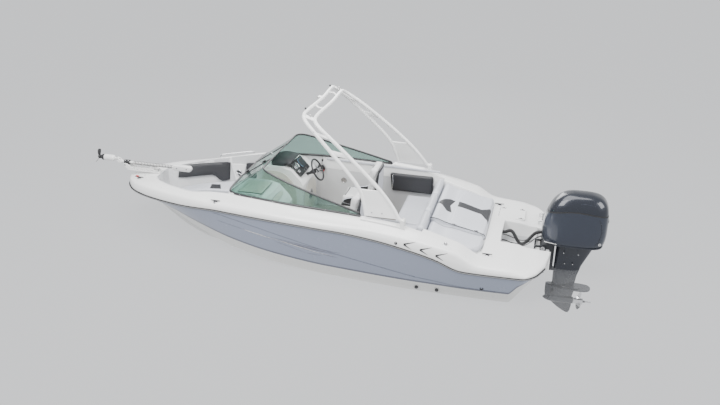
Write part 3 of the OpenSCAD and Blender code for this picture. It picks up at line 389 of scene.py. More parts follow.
@dataclass
class Piece:
    """One object in the making: a bmesh with finishes, then an object that rides on a body."""
    name: str
    body: str = "boat"
    finishes: list[Finish] = field(default_factory=lambda: [GELCOAT])
    bm: bmesh.types.BMesh = field(default_factory=bmesh.new)

    def skin(self, rows: Sequence[Sequence[Vector]], closed: bool = False, caps: bool = False,
             finish: Optional[Callable[[int, int], int]] = None) -> list[bmesh.types.BMFace]:
        """Skins a surface through rows of points by extruding a chain from row to row.

        Args:
            rows: chains of equally many points.
            closed: whether each row is a ring.
            caps: whether the first and the last ring are closed by a face.
            finish: gives the finish's number from the row's and the point's number.

        Returns:
            The faces made.
        """
        bm, faces = self.bm, []
        chain = [bm.verts.new(p) for p in rows[0]]
        count = len(chain)
        spans = count if closed else count - 1
        edges = [bm.edges.new((chain[k], chain[(k + 1) % count])) for k in range(spans)]
        first = list(edges)
        for r, row in enumerate(rows[1:]):
            made = bmesh.ops.extrude_edge_only(bm, edges=edges)["geom"]
            fresh = {g for g in made if isinstance(g, bmesh.types.BMVert)}
            grown = []
            for k, old in enumerate(chain):
                new = next(o for o in (e.other_vert(old) for e in old.link_edges) if o in fresh)
                new.co = row[k]
                grown.append(new)
            for k in range(spans):
                edge = bm.edges.get((grown[k], grown[(k + 1) % count]))
                old_edge = edges[k]
                face = next(f for f in old_edge.link_faces if edge in f.edges)
                face.smooth = True
                if finish:
                    face.material_index = finish(r, k)
                faces.append(face)
            edges = [bm.edges.get((grown[k], grown[(k + 1) % count])) for k in range(spans)]
            chain = grown
        if closed and caps:
            for ring in (first, edges):
                faces += bmesh.ops.holes_fill(bm, edges=ring)["faces"]
        return faces

    def tube(self, path: Sequence[Vector], radius: float | Sequence[float], sides: int = 12,
             finish: int = 0, squash: float = 1.0, caps: bool = True) -> None:
        """A round bar along a path, its section carried along without twist.

        Args:
            path: the bar's centre line.
            radius: one radius, or one for each point.
            sides: how many sides its section has.
            finish: index in the piece's finishes.
            squash: the section's second half axis as a share of the first.
            caps: whether the ends are closed.
        """
        pts = [Vector(p) for p in path]
        n = len(pts)
        radii = [radius] * n if isinstance(radius, (int, float)) else list(radius)
        tangents = [(pts[min(i + 1, n - 1)] - pts[max(i - 1, 0)]).normalized() for i in range(n)]
        side = tangents[0].cross(Vector((0, 0, 1)))
        side = side.normalized() if side.length > 0.05 else Vector((0, 1, 0))
        rows = []
        for p, t, r in zip(pts, tangents, radii):
            side = (side - t * side.dot(t)).normalized()
            up = t.cross(side)
            rows.append([p + side * r * math.cos(a) + up * r * squash * math.sin(a)
                         for a in (2 * math.pi * k / sides for k in range(sides))])
        self.skin(rows, closed=True, caps=caps, finish=lambda r, k: finish)

    def block(self, low: Point, high: Point, bevel: float = 0.004, finish: int = 0, segments: int = 2,
              turn: Optional[Matrix] = None) -> list[bmesh.types.BMVert]:
        """A box with eased edges.

        Args:
            low: its low corner.
            high: its high corner.
            bevel: the width of its eased edges.
            finish: index in the piece's finishes.
            segments: steps in each eased edge.
            turn: a turn about its middle, or none.

        Returns:
            The vertices that it added.
        """
        made = bmesh.ops.create_cube(self.bm, size=1.0)["verts"]
        lo, hi = Vector(low), Vector(high)
        bmesh.ops.scale(self.bm, vec=hi - lo, verts=made)
        bmesh.ops.translate(self.bm, vec=(lo + hi) / 2, verts=made)
        faces = {f for v in made for f in v.link_faces}
        edges = {e for v in made for e in v.link_edges}
        if bevel:
            out = bmesh.ops.bevel(self.bm, geom=list(edges), offset=bevel, affect="EDGES",
                                  segments=segments, profile=0.5, material=-1, clamp_overlap=True)
            faces = {f for f in faces if f.is_valid} | set(out["faces"])
        verts = {v for f in faces for v in f.verts}
        for f in faces:
            f.material_index = finish
            f.smooth = True
        if turn:
            bmesh.ops.transform(self.bm, matrix=turn, verts=list(verts))
        return list(verts)

    def plate(self, outline: Sequence[Vector], rise: Vector, bevel: float = 0.003, finish: int = 0,
              segments: int = 2, top_only: bool = False) -> list[bmesh.types.BMFace]:
        """A flat plate: an outline made a face, extruded along rise, and its rim eased.

        Args:
            outline: the points of its lower face.
            rise: how far and which way it is extruded.
            bevel: the width of its eased rim.
            finish: index in the piece's finishes.
            segments: steps in the eased rim.
            top_only: whether only the top rim is eased.

        Returns:
            The faces of its top.
        """
        base = self.bm.faces.new([self.bm.verts.new(p) for p in outline])
        out = bmesh.ops.extrude_face_region(self.bm, geom=[base], use_keep_orig=True)["geom"]
        verts = [g for g in out if isinstance(g, bmesh.types.BMVert)]
        top = [g for g in out if isinstance(g, bmesh.types.BMFace)]
        bmesh.ops.translate(self.bm, vec=rise, verts=verts)
        whole = {f for v in verts for f in v.link_faces} | {base}
        bmesh.ops.recalc_face_normals(self.bm, faces=list(whole))
        if bevel:
            rim = {e for f in (top if top_only else [*top, base]) for e in f.edges}
            made = bmesh.ops.bevel(self.bm, geom=list(rim), offset=bevel, affect="EDGES", segments=segments,
                                   profile=0.5, material=-1, clamp_overlap=True)
            whole = {f for f in whole if f.is_valid} | set(made["faces"])
        for f in whole:
            f.material_index = finish
            f.smooth = True
        return list(whole)

    def lathe(self, profile: Sequence[tuple[float, float]], base: Point, axis: Point, steps: int = 28,
              finish: int = 0) -> None:
        """A turned body: profile points (along the axis, radius) spun about it.

        Args:
            profile: points as (distance along the axis, radius).
            base: where the axis starts.
            axis: its direction.
            steps: how many sides it has.
            finish: index in the piece's finishes.
        """
        along = Vector(axis).normalized()
        origin = Vector(base)
        rows = [circle(origin + along * a, max(r, 1e-5), along, steps) for a, r in profile]
        self.skin(rows, closed=True, caps=True, finish=lambda r, k: finish)

    def ball(self, centre: Point, radius: float, finish: int = 0, squash: Point = (1, 1, 1)) -> None:
        """A round knob.

        Args:
            centre: its centre.
            radius: its radius.
            finish: index in the piece's finishes.
            squash: a scale along each axis.
        """
        verts = bmesh.ops.create_icosphere(self.bm, subdivisions=2, radius=radius)["verts"]
        bmesh.ops.scale(self.bm, vec=squash, verts=verts)
        bmesh.ops.translate(self.bm, vec=centre, verts=verts)
        for f in {f for v in verts for f in v.link_faces}:
            f.material_index = finish
            f.smooth = True

    def take(self, node: str, finish: int = 0, dissolve: float = 1.0, ease: float = 0.0) -> None:
        """Starts from a CAD node's own shape, merged, with flat parts joined and sharp edges eased.

        Args:
            node: the CAD node's name.
            finish: index in the piece's finishes.
            dissolve: faces within this many degrees are joined.
            ease: the width of the eased edges.
        """
        self.bm.from_mesh(frame["nodes"][node].data)
        bm = self.bm
        bmesh.ops.remove_doubles(bm, verts=bm.verts, dist=0.00005)
        bmesh.ops.dissolve_limit(bm, angle_limit=math.radians(dissolve), verts=bm.verts, edges=bm.edges)
        if ease:
            sharp = [e for e in bm.edges if len(e.link_faces) == 2 and e.calc_face_angle(0) > 0.6]
            bmesh.ops.bevel(bm, geom=sharp, offset=ease, affect="EDGES", segments=2, profile=0.5,
                            material=-1, clamp_overlap=True)
        for f in bm.faces:
            f.material_index = finish
            f.smooth = True

    def mirror(self) -> None:
        """Adds the same shapes on the other side of the centreline."""
        geom = list(self.bm.verts) + list(self.bm.edges) + list(self.bm.faces)
        copy = bmesh.ops.duplicate(self.bm, geom=geom)["geom"]
        verts = [g for g in copy if isinstance(g, bmesh.types.BMVert)]
        for v in verts:
            v.co.y = -v.co.y
        bmesh.ops.reverse_faces(self.bm, faces=[g for g in copy if isinstance(g, bmesh.types.BMFace)])

    def done(self, slot: str = "", replaces: Iterable[str] = (), weld: float = 0.00002,
             outward: bool = True, sharp: float = 38.0, wall: float = 0.0,
             smooth_levels: int = 0) -> bpy.types.Object:
        """Makes the object, dresses it and gives it to its body.

        Args:
            slot: the record's material slot; not used.
            replaces: CAD nodes that it stands for.
            weld: distance within which points are joined.
            outward: whether its normals are made to point outwards.
            sharp: angle in degrees past which an edge stays crisp.
            wall: thickness that an open sheet is given, inwards.
            smooth_levels: subdivision levels.

        Returns:
            The finished object.
        """
        bm = self.bm
        if weld:
            bmesh.ops.remove_doubles(bm, verts=bm.verts, dist=weld)
        loose = [v for v in bm.verts if not v.link_faces]
        if loose:
            bmesh.ops.delete(bm, geom=loose, context="VERTS")
        if outward:
            bmesh.ops.recalc_face_normals(bm, faces=bm.faces)
        for e in bm.edges:
            e.smooth = len(e.link_faces) != 2 or e.calc_face_angle(0) < math.radians(sharp)
        mesh = bpy.data.meshes.new(self.name)
        bm.to_mesh(mesh)
        bm.free()
        obj = bpy.data.objects.new(self.name, mesh)
        bpy.context.scene.collection.objects.link(obj)
        for finish in self.finishes:
            mesh.materials.append(finish.material())
        if wall:
            thick = obj.modifiers.new("wall", "SOLIDIFY")
            thick.thickness, thick.offset = wall, -1
        if smooth_levels:
            fine = obj.modifiers.new("fine", "SUBSURF")
            fine.levels = fine.render_levels = smooth_levels
        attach(obj, self.body)
        if replaces:
            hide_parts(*replaces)
        log.info("piece %s: %d faces on %s", self.name, len(mesh.polygons), self.body)
        return obj


# ------------------------------------------------------------------ lines of the boat
@dataclass(frozen=True)
class Lines:
    """The boat's lines: half breadths and heights along X, in millimetres."""
    rail_y: Fair = Fair(((-3340, 420), (-3290, 750), (-3240, 900), (-3180, 1040), (-3120, 1120),
                         (-3030, 1195), (-2900, 1215), (-2230, 1262), (-1450, 1280), (-440, 1280),
                         (150, 1245), (700, 1170), (1250, 1060), (1700, 950), (2080, 815), (2400, 690),
                         (2700, 550), (2930, 400), (3050, 270), (3120, 150), (3150, 60)))
    rail_z: Fair = Fair(((-3340, 345), (-2900, 362), (-2230, 385), (-1850, 520), (-1450, 620), (-1000, 700),
                         (-440, 750), (150, 760), (1250, 735), (2080, 650), (2700, 612), (3150, 600)))
    crest: Fair = Fair(((-3340, 400), (-3000, 430), (-2870, 458), (-2430, 490), (-2120, 640), (-1300, 800),
                        (-830, 850), (-300, 865), (490, 870), (1230, 845), (1520, 835), (2190, 790),
                        (2700, 755), (3050, 705), (3150, 680)))
    rise: Fair = Fair(((-3340, 2), (-2120, 6), (-1640, 36), (-1300, 58), (-830, 52), (0, 60), (1200, 90),
                       (1800, 30), (2600, 10), (3150, 4)))
    chine_y: Fair = Fair(((-3340, 380), (-3180, 900), (-3100, 1000), (-3000, 1060), (-2900, 1078),
                          (-1640, 1100), (-390, 1095), (410, 1040), (1100, 900), (1800, 660), (2300, 430),
                          (2800, 190), (3150, 20)))
    chine_z: Fair = Fair(((-3340, 335), (-3180, 285), (-3100, 215), (-3000, 110), (-2900, -20),
                          (-2850, -70), (-1640, -62), (-390, -10), (410, 50), (1100, 125), (1800, 260),
                          (2300, 380), (2800, 500), (3150, 594)))
    keel: Fair = Fair(((-3340, 330), (-3185, 40), (-3100, -45), (-3000, -140), (-2900, -260), (-2850, -340),
                       (600, -340), (1300, -312), (1870, -235), (2230, -85), (2500, 100), (2810, 345),
                       (3000, 495), (3120, 580), (3150, 590)))
    well: Fair = Fair(((-1640, 1000), (300, 1000), (700, 955), (1180, 860), (1520, 785), (1800, 735),
                       (2080, 600), (2320, 470), (2520, 330), (2630, 180), (2650, 90)))
    knuckle: float = 130.0
    sole: float = 0.100

    def band(self, x: float) -> float:
        """Height of the knuckle above the chine."""
        return min(self.knuckle, (self.rail_z.at(x) - self.chine_z.at(x)) * 0.42)

    def side(self, x: float, share: float) -> Vector:
        """A point of the topsides, from the knuckle (0) to the rail (1).

        Args:
            x: the station, in millimetres.
            share: 0 at the knuckle and 1 at the rail.

        Returns:
            The point, in metres.
        """
        ry, rz, cy, cz = self.rail_y.at(x), self.rail_z.at(x), self.chine_y.at(x), self.chine_z.at(x)
        low = self.band(x) / (rz - cz)
        ky, kz = cy + (ry - cy) * (low + 0.06), cz + self.band(x)
        my, mz = cy + (ry - cy) * 0.66, cz + (rz - cz) * 0.60
        mid = (0.60 - low) / (1 - low)
        bend = share * (1 - share) / (mid * (1 - mid))
        y = ky + (ry - ky) * share + (my - (ky + (ry - ky) * mid)) * bend
        z = kz + (rz - kz) * share + (mz - (kz + (rz - kz) * mid)) * bend
        return Vector((x, y, z)) * MM

    def deck_section(self, x: float, inner: float) -> list[Vector]:
        """The deck's section from the rail to a half breadth, in metres.

        Args:
            x: the station, in millimetres.
            inner: where the section ends, in millimetres from the centreline.

        Returns:
            Its points from the rail inwards, in metres.
        """
        yr, zr, d = self.rail_y.at(x), self.rail_z.at(x), self.crest.at(x)
        e, s = d + self.rise.at(x), min(1.0, self.rail_y.at(x) / 420)
        inner = min(inner, yr - 60 * s)
        shelf = max(yr - 190 * s, inner + 20 * s)
        pts = [(yr, zr), (yr - 2 * s, zr + (d - zr) * 0.28), (yr - 6 * s, zr + (d - zr) * 0.5),
               (yr - 32 * s, d - 14 * s), (yr - 90 * s, d), (shelf, e), ((shelf + inner) / 2, e),
               (inner, e)]
        return chaikin([Vector((x, y, z)) * MM for y, z in pts], 2)

    def top(self, x: float, y: float) -> float:
        """The deck's height at a plan point, all in metres.

        Args:
            x: place along the boat, in metres.
            y: place across it, in metres.

        Returns:
            The deck's height there.
        """
        section = self.deck_section(x / MM, 0.0)
        for a, b in zip(section, section[1:]):
            if b.y <= abs(y) <= a.y:
                return a.z + (b.z - a.z) * (a.y - abs(y)) / max(1e-9, a.y - b.y)
        return section[-1].z


LINES = Lines()


def spread(low: float, high: float, step: float, extra: Sequence[float] = ()) -> list[float]:
    """Stations from low to high about a step apart, with some extra ones, in order."""
    count = max(1, round((high - low) / step))
    return sorted({round(low + (high - low) * k / count, 3) for k in range(count + 1)} | {float(e)
            for e in extra})


@dataclass
class Hull:
    """The hull's skin, its stripes, the transom board and the underwater fittings."""
    board_x: float = -3185.0
    cut_half: float = 370.0
    rows_side: int = 10

    def build(self) -> None:
        """Builds and dresses the hull."""
        self._shell()
        self._streaks()
        self._fittings()
        self._transom()

    def _section(self, x: float, inner: float) -> list[Vector]:
        """The hull's half section from the rail down to the keel or to the engine cut-out.

        Args:
            x: the station, in millimetres.
            inner: where the section stops, in millimetres from the centreline.

        Returns:
            Its points from the rail down, in metres.
        """
        side = [LINES.side(x, 1 - k / self.rows_side) for k in range(self.rows_side - 1)]
        low = LINES.side(x, 0)
        top = LINES.side(x, 1)
        share = min(0.9, 0.055 / max(0.06, top.z - low.z))
        lines = [LINES.side(x, share), LINES.side(x, share * 0.45), low]
        cy, cz, kz = LINES.chine_y.at(x), LINES.chine_z.at(x), LINES.keel.at(x)
        lip = min(1.0, cy / 400)
        chine = Vector((x, cy, cz)) * MM
        step = Vector((x, cy - 55 * lip, cz - 6 * lip - (cz - kz) * 0.03)) * MM
        keel = Vector((x, 0, kz)) * MM
        run = [low.lerp(chine, 0.5) + Vector((0, -0.006 * lip, 0)), chine, step]
        share_in = inner * MM / max(step.y, 1e-6)
        for t in (0.3, 0.315, 0.335, 0.62, 0.635, 0.655, 0.99):
            t = t * (1 - share_in)
            p = step.lerp(keel, t)
            proud = 0.012 if round(t / (1 - share_in + 1e-9), 3) in (0.315,
                    0.635) and LINES.keel.at(x) < 200 else 0.0
            run.append(p + Vector((0, 0, -proud)))
        return side[:-1] + lines + run + [step.lerp(keel, 1 - share_in)]

    def _shell(self) -> None:
        """The skinned hull, open at the sheer and round the engine."""
        piece = Piece("hull_shell", finishes=[HULL_GREY, HULL_LINE, HULL_BAND])
        xs = spread(-3340, 3150, 85, (-3340, -3320, -3290, -3265, -3240, -3210, -3186, -3180, -3150, -3120,
                                      -3100, -3060, -3030, -3000, -2950, -2900, -2875, -2850, -2840, 3050,
                                      3090, 3120, 3140, 3150))
        rows = [self._section(x, self.cut_half if x < self.board_x else 0.0) for x in xs]
        line = self.rows_side - 2

        def paint(_row: int, k: int) -> int:
            """Which finish a face of the shell has.

            Args:
                _row: the station, which the paint ignores.
                k: the face round the section, from the rail.

            Returns:
                An index in the shell's finishes.
            """
            if k == line:
                return 1
            return 0 if k < line + 1 else 2
        piece.skin(rows, finish=paint)
        piece.mirror()
        nose = [Vector((3150, 0, 0)) * MM + Vector((0, 0, p.z)) for p in rows[-1]]
        piece.skin([rows[-1], [n + Vector((0.004, 0, 0)) for n in nose]], finish=paint)
        piece.skin([[Vector((p.x, -p.y, p.z)) for p in rows[-1]],
                    [n + Vector((0.004, 0, 0)) for n in nose]], finish=paint)
        piece.done("hull", ["hull"], weld=0.0004, sharp=22)

    def _streaks(self) -> None:
        """Generic thin lines and streaks on both topsides, a film thick."""
        piece = Piece("hull_streaks", finishes=[STREAK_PALE, STREAK_DARK, HULL_LINE])
        marks = [((1350, 0.90), (-600, 0.40), 5, 2), ((-600, 0.40), (-1600, 0.22), 7, 2),
                 ((-1600, 0.22), (-2700, 0.16), 5, 2), ((1300, 0.62), (450, 0.50), 3, 2),
                 ((900, 0.56), (420, 0.49), 16, 0), ((420, 0.50), (-330, 0.36), 10, 0),
                 ((450, 0.53), (-560, 0.46), 4, 1), ((430, 0.49), (-350, 0.44), 5, 1),
                 ((300, 0.46), (-620, 0.41), 4, 1), ((100, 0.43), (-520, 0.33), 5, 1),
                 ((400, 0.44), (-60, 0.30), 3, 1), ((-60, 0.30), (-300, 0.31), 3, 1),
                 ((60, 0.50), (-420, 0.47), 3, 1), ((-150, 0.38), (-480, 0.36), 4, 0)]
        for (x0, s0), (x1, s1), width, kind in marks:
            steps = max(6, round(abs(x1 - x0) / 60))
            low, high = [], []
            for k in range(steps + 1):
                t = k / steps
                swell = width * (0.15 + 0.85 * math.sin(math.pi * t) ** 0.6) if kind != 2 else width
                x, s = x0 + (x1 - x0) * t, s0 + (s1 - s0) * t
                tall = max(60.0, LINES.rail_z.at(x) - LINES.chine_z.at(x) - LINES.band(x))
                for line, sign in ((low, -1), (high, 1)):
                    point = LINES.side(x, s + sign * swell / 2 / tall)
                    line.append(point + Vector((0, 0.0022, -0.0006)))
            piece.skin([low, high], finish=lambda r, k, kind=kind: kind)
        piece.mirror()
        piece.done("hull", wall=0.0004, outward=False)

    def _fittings(self) -> None:
        """Through-hull outlets and the bow eye."""
        piece = Piece("hull_fittings", finishes=[BLACK_PLASTIC, STAINLESS])
        for x, share in ((-1620, -0.55), (-2500, 0.25), (-1900, -0.3)):
            p = LINES.side(x, max(0, share)) if share >= 0 else LINES.side(x,
                    0) + Vector((0, -0.006, -0.062))
            piece.lathe([(-0.006, 0.001), (-0.006, 0.026), (0.002, 0.026), (0.007, 0.021), (0.004, 0.013),
                         (-0.002, 0.012), (-0.002, 0.001)], p, (0, 1, 0), 20)
        piece.mirror()
        eye = Vector((2.915, 0, 0.435))
        ring = [eye + Vector((0.030 * math.cos(a), 0, 0.036 * math.sin(a)))
                for a in (math.radians(d) for d in range(-100, 201, 20))]
        piece.tube(ring, 0.0065, 10, 1)
        piece.done("trim", outward=True)

    def _transom(self) -> None:
        """The motor board with its notch, and the wall that closes the hull round it."""
        piece = Piece("transom_board", finishes=[GELCOAT, HULL_BAND])
        x0, x1 = self.board_x * MM, (self.board_x + 62) * MM
        piece.block((x0 - 0.001, -0.372, 0.06), (x1, 0.372, 0.335), 0.012, 0, 3)
        foot = LINES.keel.at(self.board_x) * MM
        piece.plate([Vector((x0, y, z)) for y, z in ((-0.372, 0.07), (0.372, 0.07), (0.30, 0.075),
                                                     (0, foot + 0.012), (-0.30, 0.075))][::-1],
                    Vector((0.02, 0, 0)), 0.0, 0)
        for side in (1, -1):
            piece.block((-3.325, side * 0.370 - 0.006, 0.30), (x1 + 0.004, side * 0.370 + 0.006, 0.410),
                        0.004)
            piece.block((x0 - 0.001, side * 0.372 - 0.012, 0.06), (x1, side * 0.372 + 0.012, 0.40), 0.004)
        piece.done("hull", sharp=30)


@dataclass
class Deck:
    """The deck moulding with its coamings, the well behind the sun pad and the mouldings on it."""
    pad_front: float = -1640.0
    pad_back: float = -2440.0
    well_front: float = -2640.0
    well_back: float = -3123.0
    well_half: float = 360.0
    pad_half: float = 900.0
    bow_end: float = 2648.0

    def build(self) -> None:
        """Builds and dresses the deck."""
        self._moulding()
        self._engine_well()
        self._rail()
        self._vents()
        self._hardware()

    def inner(self, x: float) -> float:
        """Half breadth of the opening in the deck at a station, in millimetres.

        Args:
            x: the station, in millimetres.

        Returns:
            That half breadth, or 0 where the deck is closed.
        """
        if x < self.well_front:
            return self.well_half
        if x < self.pad_back:
            return 0.0
        if x < self.pad_front:
            return self.pad_half
        return LINES.well.at(x) if x <= self.bow_end else 0.0

    def _wall(self, x: float, inner: float, deep: float) -> list[Vector]:
        """The eased lip and the wall that drops from an opening's edge.

        Args:
            x: the station, in millimetres.
            inner: the half breadth at the opening's edge, in millimetres.
            deep: how far the wall drops, in metres.

        Returns:
            The wall's points from the lip down.
        """
        top = LINES.deck_section(x, inner)[-1]
        y, z = top.y, top.z
        return [Vector((top.x, y - dy, z - dz)) for dy, dz in
                ((0.006, 0.0008), (0.0125, 0.0035), (0.0165, 0.009), (0.0185, 0.018), (0.0185, deep))]

    def _moulding(self) -> None:
        """The deck's skin, rail to opening, with its inner walls."""
        piece = Piece("deck_moulding", finishes=[GELCOAT, NONSKID])
        jumps = (self.well_front, self.pad_back, self.pad_front, self.bow_end)
        xs = spread(-3340, 3150, 60, [j + d for j in jumps for d in (-3, 3)]
                    + [-3340, -3325, -3310, -3290, -3270, -3240, -3210, -3180, -3150, -3120, -3090, -3060,
                       -3030, 2500, 2560, 2600, 2630, 3080, 3110, 3130, 3143, 3150])
        xs = [x for x in xs if all(abs(x - j) > 2.5 for j in jumps)]
        rows, walls = [], []
        for x in xs:
            inner = self.inner(x)
            rows.append(LINES.deck_section(x, inner + (16 if inner else 0)))
            deep = 0.30 if x < self.well_front else (0.34 if x < self.pad_front else 0.20)
            walls.append(self._wall(x, inner + 16, deep) if inner
                         else [Vector((rows[-1][-1].x, 0, rows[-1][-1].z))] * 5)
        full = [r + w for r, w in zip(rows, walls)]
        piece.skin(full)
        dead = [f for f in piece.bm.faces if f.calc_area() < 1e-9]
        bmesh.ops.delete(piece.bm, geom=dead, context="FACES")
        piece.mirror()
        nose = [Vector((3.154, 0, p.z)) for p in full[-1]]
        piece.skin([full[-1], nose])
        piece.skin([[Vector((p.x, -p.y, p.z)) for p in full[-1]], nose])
        piece.done("deck", ["deck"], weld=0.0003, sharp=28)

    def _engine_well(self) -> None:
        """The self-draining well forward of the motor board."""
        piece = Piece("engine_well", finishes=[LINER])
        low, high = Vector((self.well_back * MM, -0.36, 0.15)), Vector((self.well_front * MM, 0.36, 0.42))
        corners = [(low.x, low.y), (high.x, low.y), (high.x, high.y), (low.x, high.y)]
        ring = chaikin([Vector((x, y, 0)) for x, y in corners], 0, True)
        dense = []
        for a, b in zip(ring, ring[1:] + ring[:1]):
            dense += [a.lerp(b, t) for t in (0.0, 0.12, 0.5, 0.88)]
        mid = (low + high) / 2

        def shrunk(share: float, z: float) -> list[Vector]:
            """The well's plan, shrunk about its middle.

            Args:
                share: the scale of the plan.
                z: its height.

            Returns:
                The ring of points.
            """
            soft = chaikin(dense, 2, True)
            return [Vector((mid.x + (p.x - mid.x) * share, p.y * share, z)) for p in soft]
        piece.skin([shrunk(1.012, high.z), shrunk(1.0, 0.30), shrunk(0.985, 0.20), shrunk(0.96, 0.165),
                    shrunk(0.90, 0.15), shrunk(0.5, 0.148)], closed=True, caps=False)
        rim = [e for e in piece.bm.edges if e.is_boundary
               and all(abs(v.co.z - 0.148) < 1e-4 for v in e.verts)]
        bmesh.ops.holes_fill(piece.bm, edges=rim)
        bmesh.ops.recalc_face_normals(piece.bm, faces=piece.bm.faces)
        bmesh.ops.reverse_faces(piece.bm, faces=piece.bm.faces)
        piece.done("liner", outward=False, sharp=50)

    def _rail(self) -> None:
        """The rub rail: a black D section with a bright insert, right round the bow."""
        piece = Piece("rub_rail_trim", finishes=[RUBBER, STAINLESS])
        xs = spread(-3280, 3150, 90, (-3280, -3260, -3240, -3210, -3180, -3150, -3120, -3090, 3060, 3090,
                                      3120, 3140))
        section = [(-0.004, -0.013), (0.006, -0.015), (0.013, -0.011), (0.015, -0.004), (0.017, -0.003),
                   (0.017, 0.003), (0.015, 0.004), (0.013, 0.011), (0.006, 0.015), (-0.004, 0.013)]
        rows = []
        for x in xs:
            p = Vector((x, LINES.rail_y.at(x), LINES.rail_z.at(x))) * MM
            slope = (LINES.rail_y.at(min(3150, x + 10)) - LINES.rail_y.at(x - 10)) / 20
            out = Vector((-slope, 1, 0)).normalized()
            rows.append([p + out * a + Vector((0, 0, b)) for a, b in section])
        nose = [[Vector((3.153 + a, 0.03, 0.600 + b)) for a, b in section],
                [Vector((3.160 + a, 0, 0.600 + b)) for a, b in section]]
        piece.skin(rows + nose, finish=lambda r, k: 1 if k == 4 else 0)
        piece.mirror()
        piece.done("trim", ["rub_rail"], weld=0.0003, sharp=50)

    def _vents(self) -> None:
        """Three chevron vents and a round one on each quarter, and the filler cap."""
        piece = Piece("deck_side_trim", finishes=[BLACK_PLASTIC, STAINLESS, BRUSHED])
        for x in (-1.445, -1.665, -1.875):
            z = LINES.rail_z.at(x / MM) * MM + 0.075
            for dx, dz, tall in ((-0.155, 0.040, 0.020), (-0.105, -0.062, 0.026)):
                def at(u: float, w: float) -> Vector:
                    """A point on the deck's side, by its place along and across a chevron's arm.

                    Args:
                        u: share of the way along the chevron's arm.
                        w: height above the arm's centre line, in metres.

                    Returns:
                        The point, 2 mm proud of the deck.
                    """
                    px, pz = x + dx * u, z + dz * u + w
                    section = LINES.deck_section(px / MM, 0)
                    for a, b in zip(section, section[1:]):
                        if min(a.z, b.z) <= pz <= max(a.z, b.z):
                            share = (pz - a.z) / (b.z - a.z)
                            return a.lerp(b, share) + Vector((0, 0.002, 0))
                    return Vector((px, section[0].y, pz))
                low = [at(k / 6, -tall * (1 - k / 6) * 0.5 - 0.001) for k in range(7)]
                high = [at(k / 6, tall * (1 - k / 6) * 0.5 + 0.001) for k in range(7)]
                piece.skin([low, high])
        x = -1.34
        section = LINES.deck_section(x / MM, 0)
        piece.lathe([(-0.004, 0.001), (-0.004, 0.021), (0.004, 0.020), (0.005, 0.013), (0.0, 0.012),
                     (0.0, 0.001)], section[4], (0, 1, 0.15), 20, 0)
        piece.mirror()
        for x, y in ((-1.96, 1.10),):
            z = LINES.top(x, y)
            piece.lathe([(-0.006, 0.001), (-0.006, 0.042), (0.003, 0.041), (0.005, 0.034), (0.002, 0.031),
                         (0.003, 0.012), (0.003, 0.0005)], (x, y, z), (0, 0.08, 1), 28, 1)
            piece.block((x - 0.004, y - 0.028, z + 0.002), (x + 0.004, y + 0.028, z + 0.006), 0.001, 0)
        piece.done("trim", wall=0.001, outward=False)

    def _hardware(self) -> None:
        """Screws along the coaming and the navigation lights at the bow."""
        piece = Piece("deck_small_parts", finishes=[STAINLESS, RED, GREEN_LENS, LAMP])
        for x in (-0.95, -1.62, -2.05, -2.25, 1.35, 1.85, 2.35):
            for side in (1, -1):
                y = side * (LINES.rail_y.at(x / MM) * MM - 0.11)
                piece.ball((x, y, LINES.top(x, y) + 0.001), 0.007, 0, (1, 1, 0.4))
        for side, finish in ((1, 1), (-1, 2)):
            y = side * 0.16
            z = LINES.top(2.98, y)
            piece.ball((2.98, y, z + 0.006), 0.020, finish, (1.7, 0.9, 0.6))
        piece.done("deck")


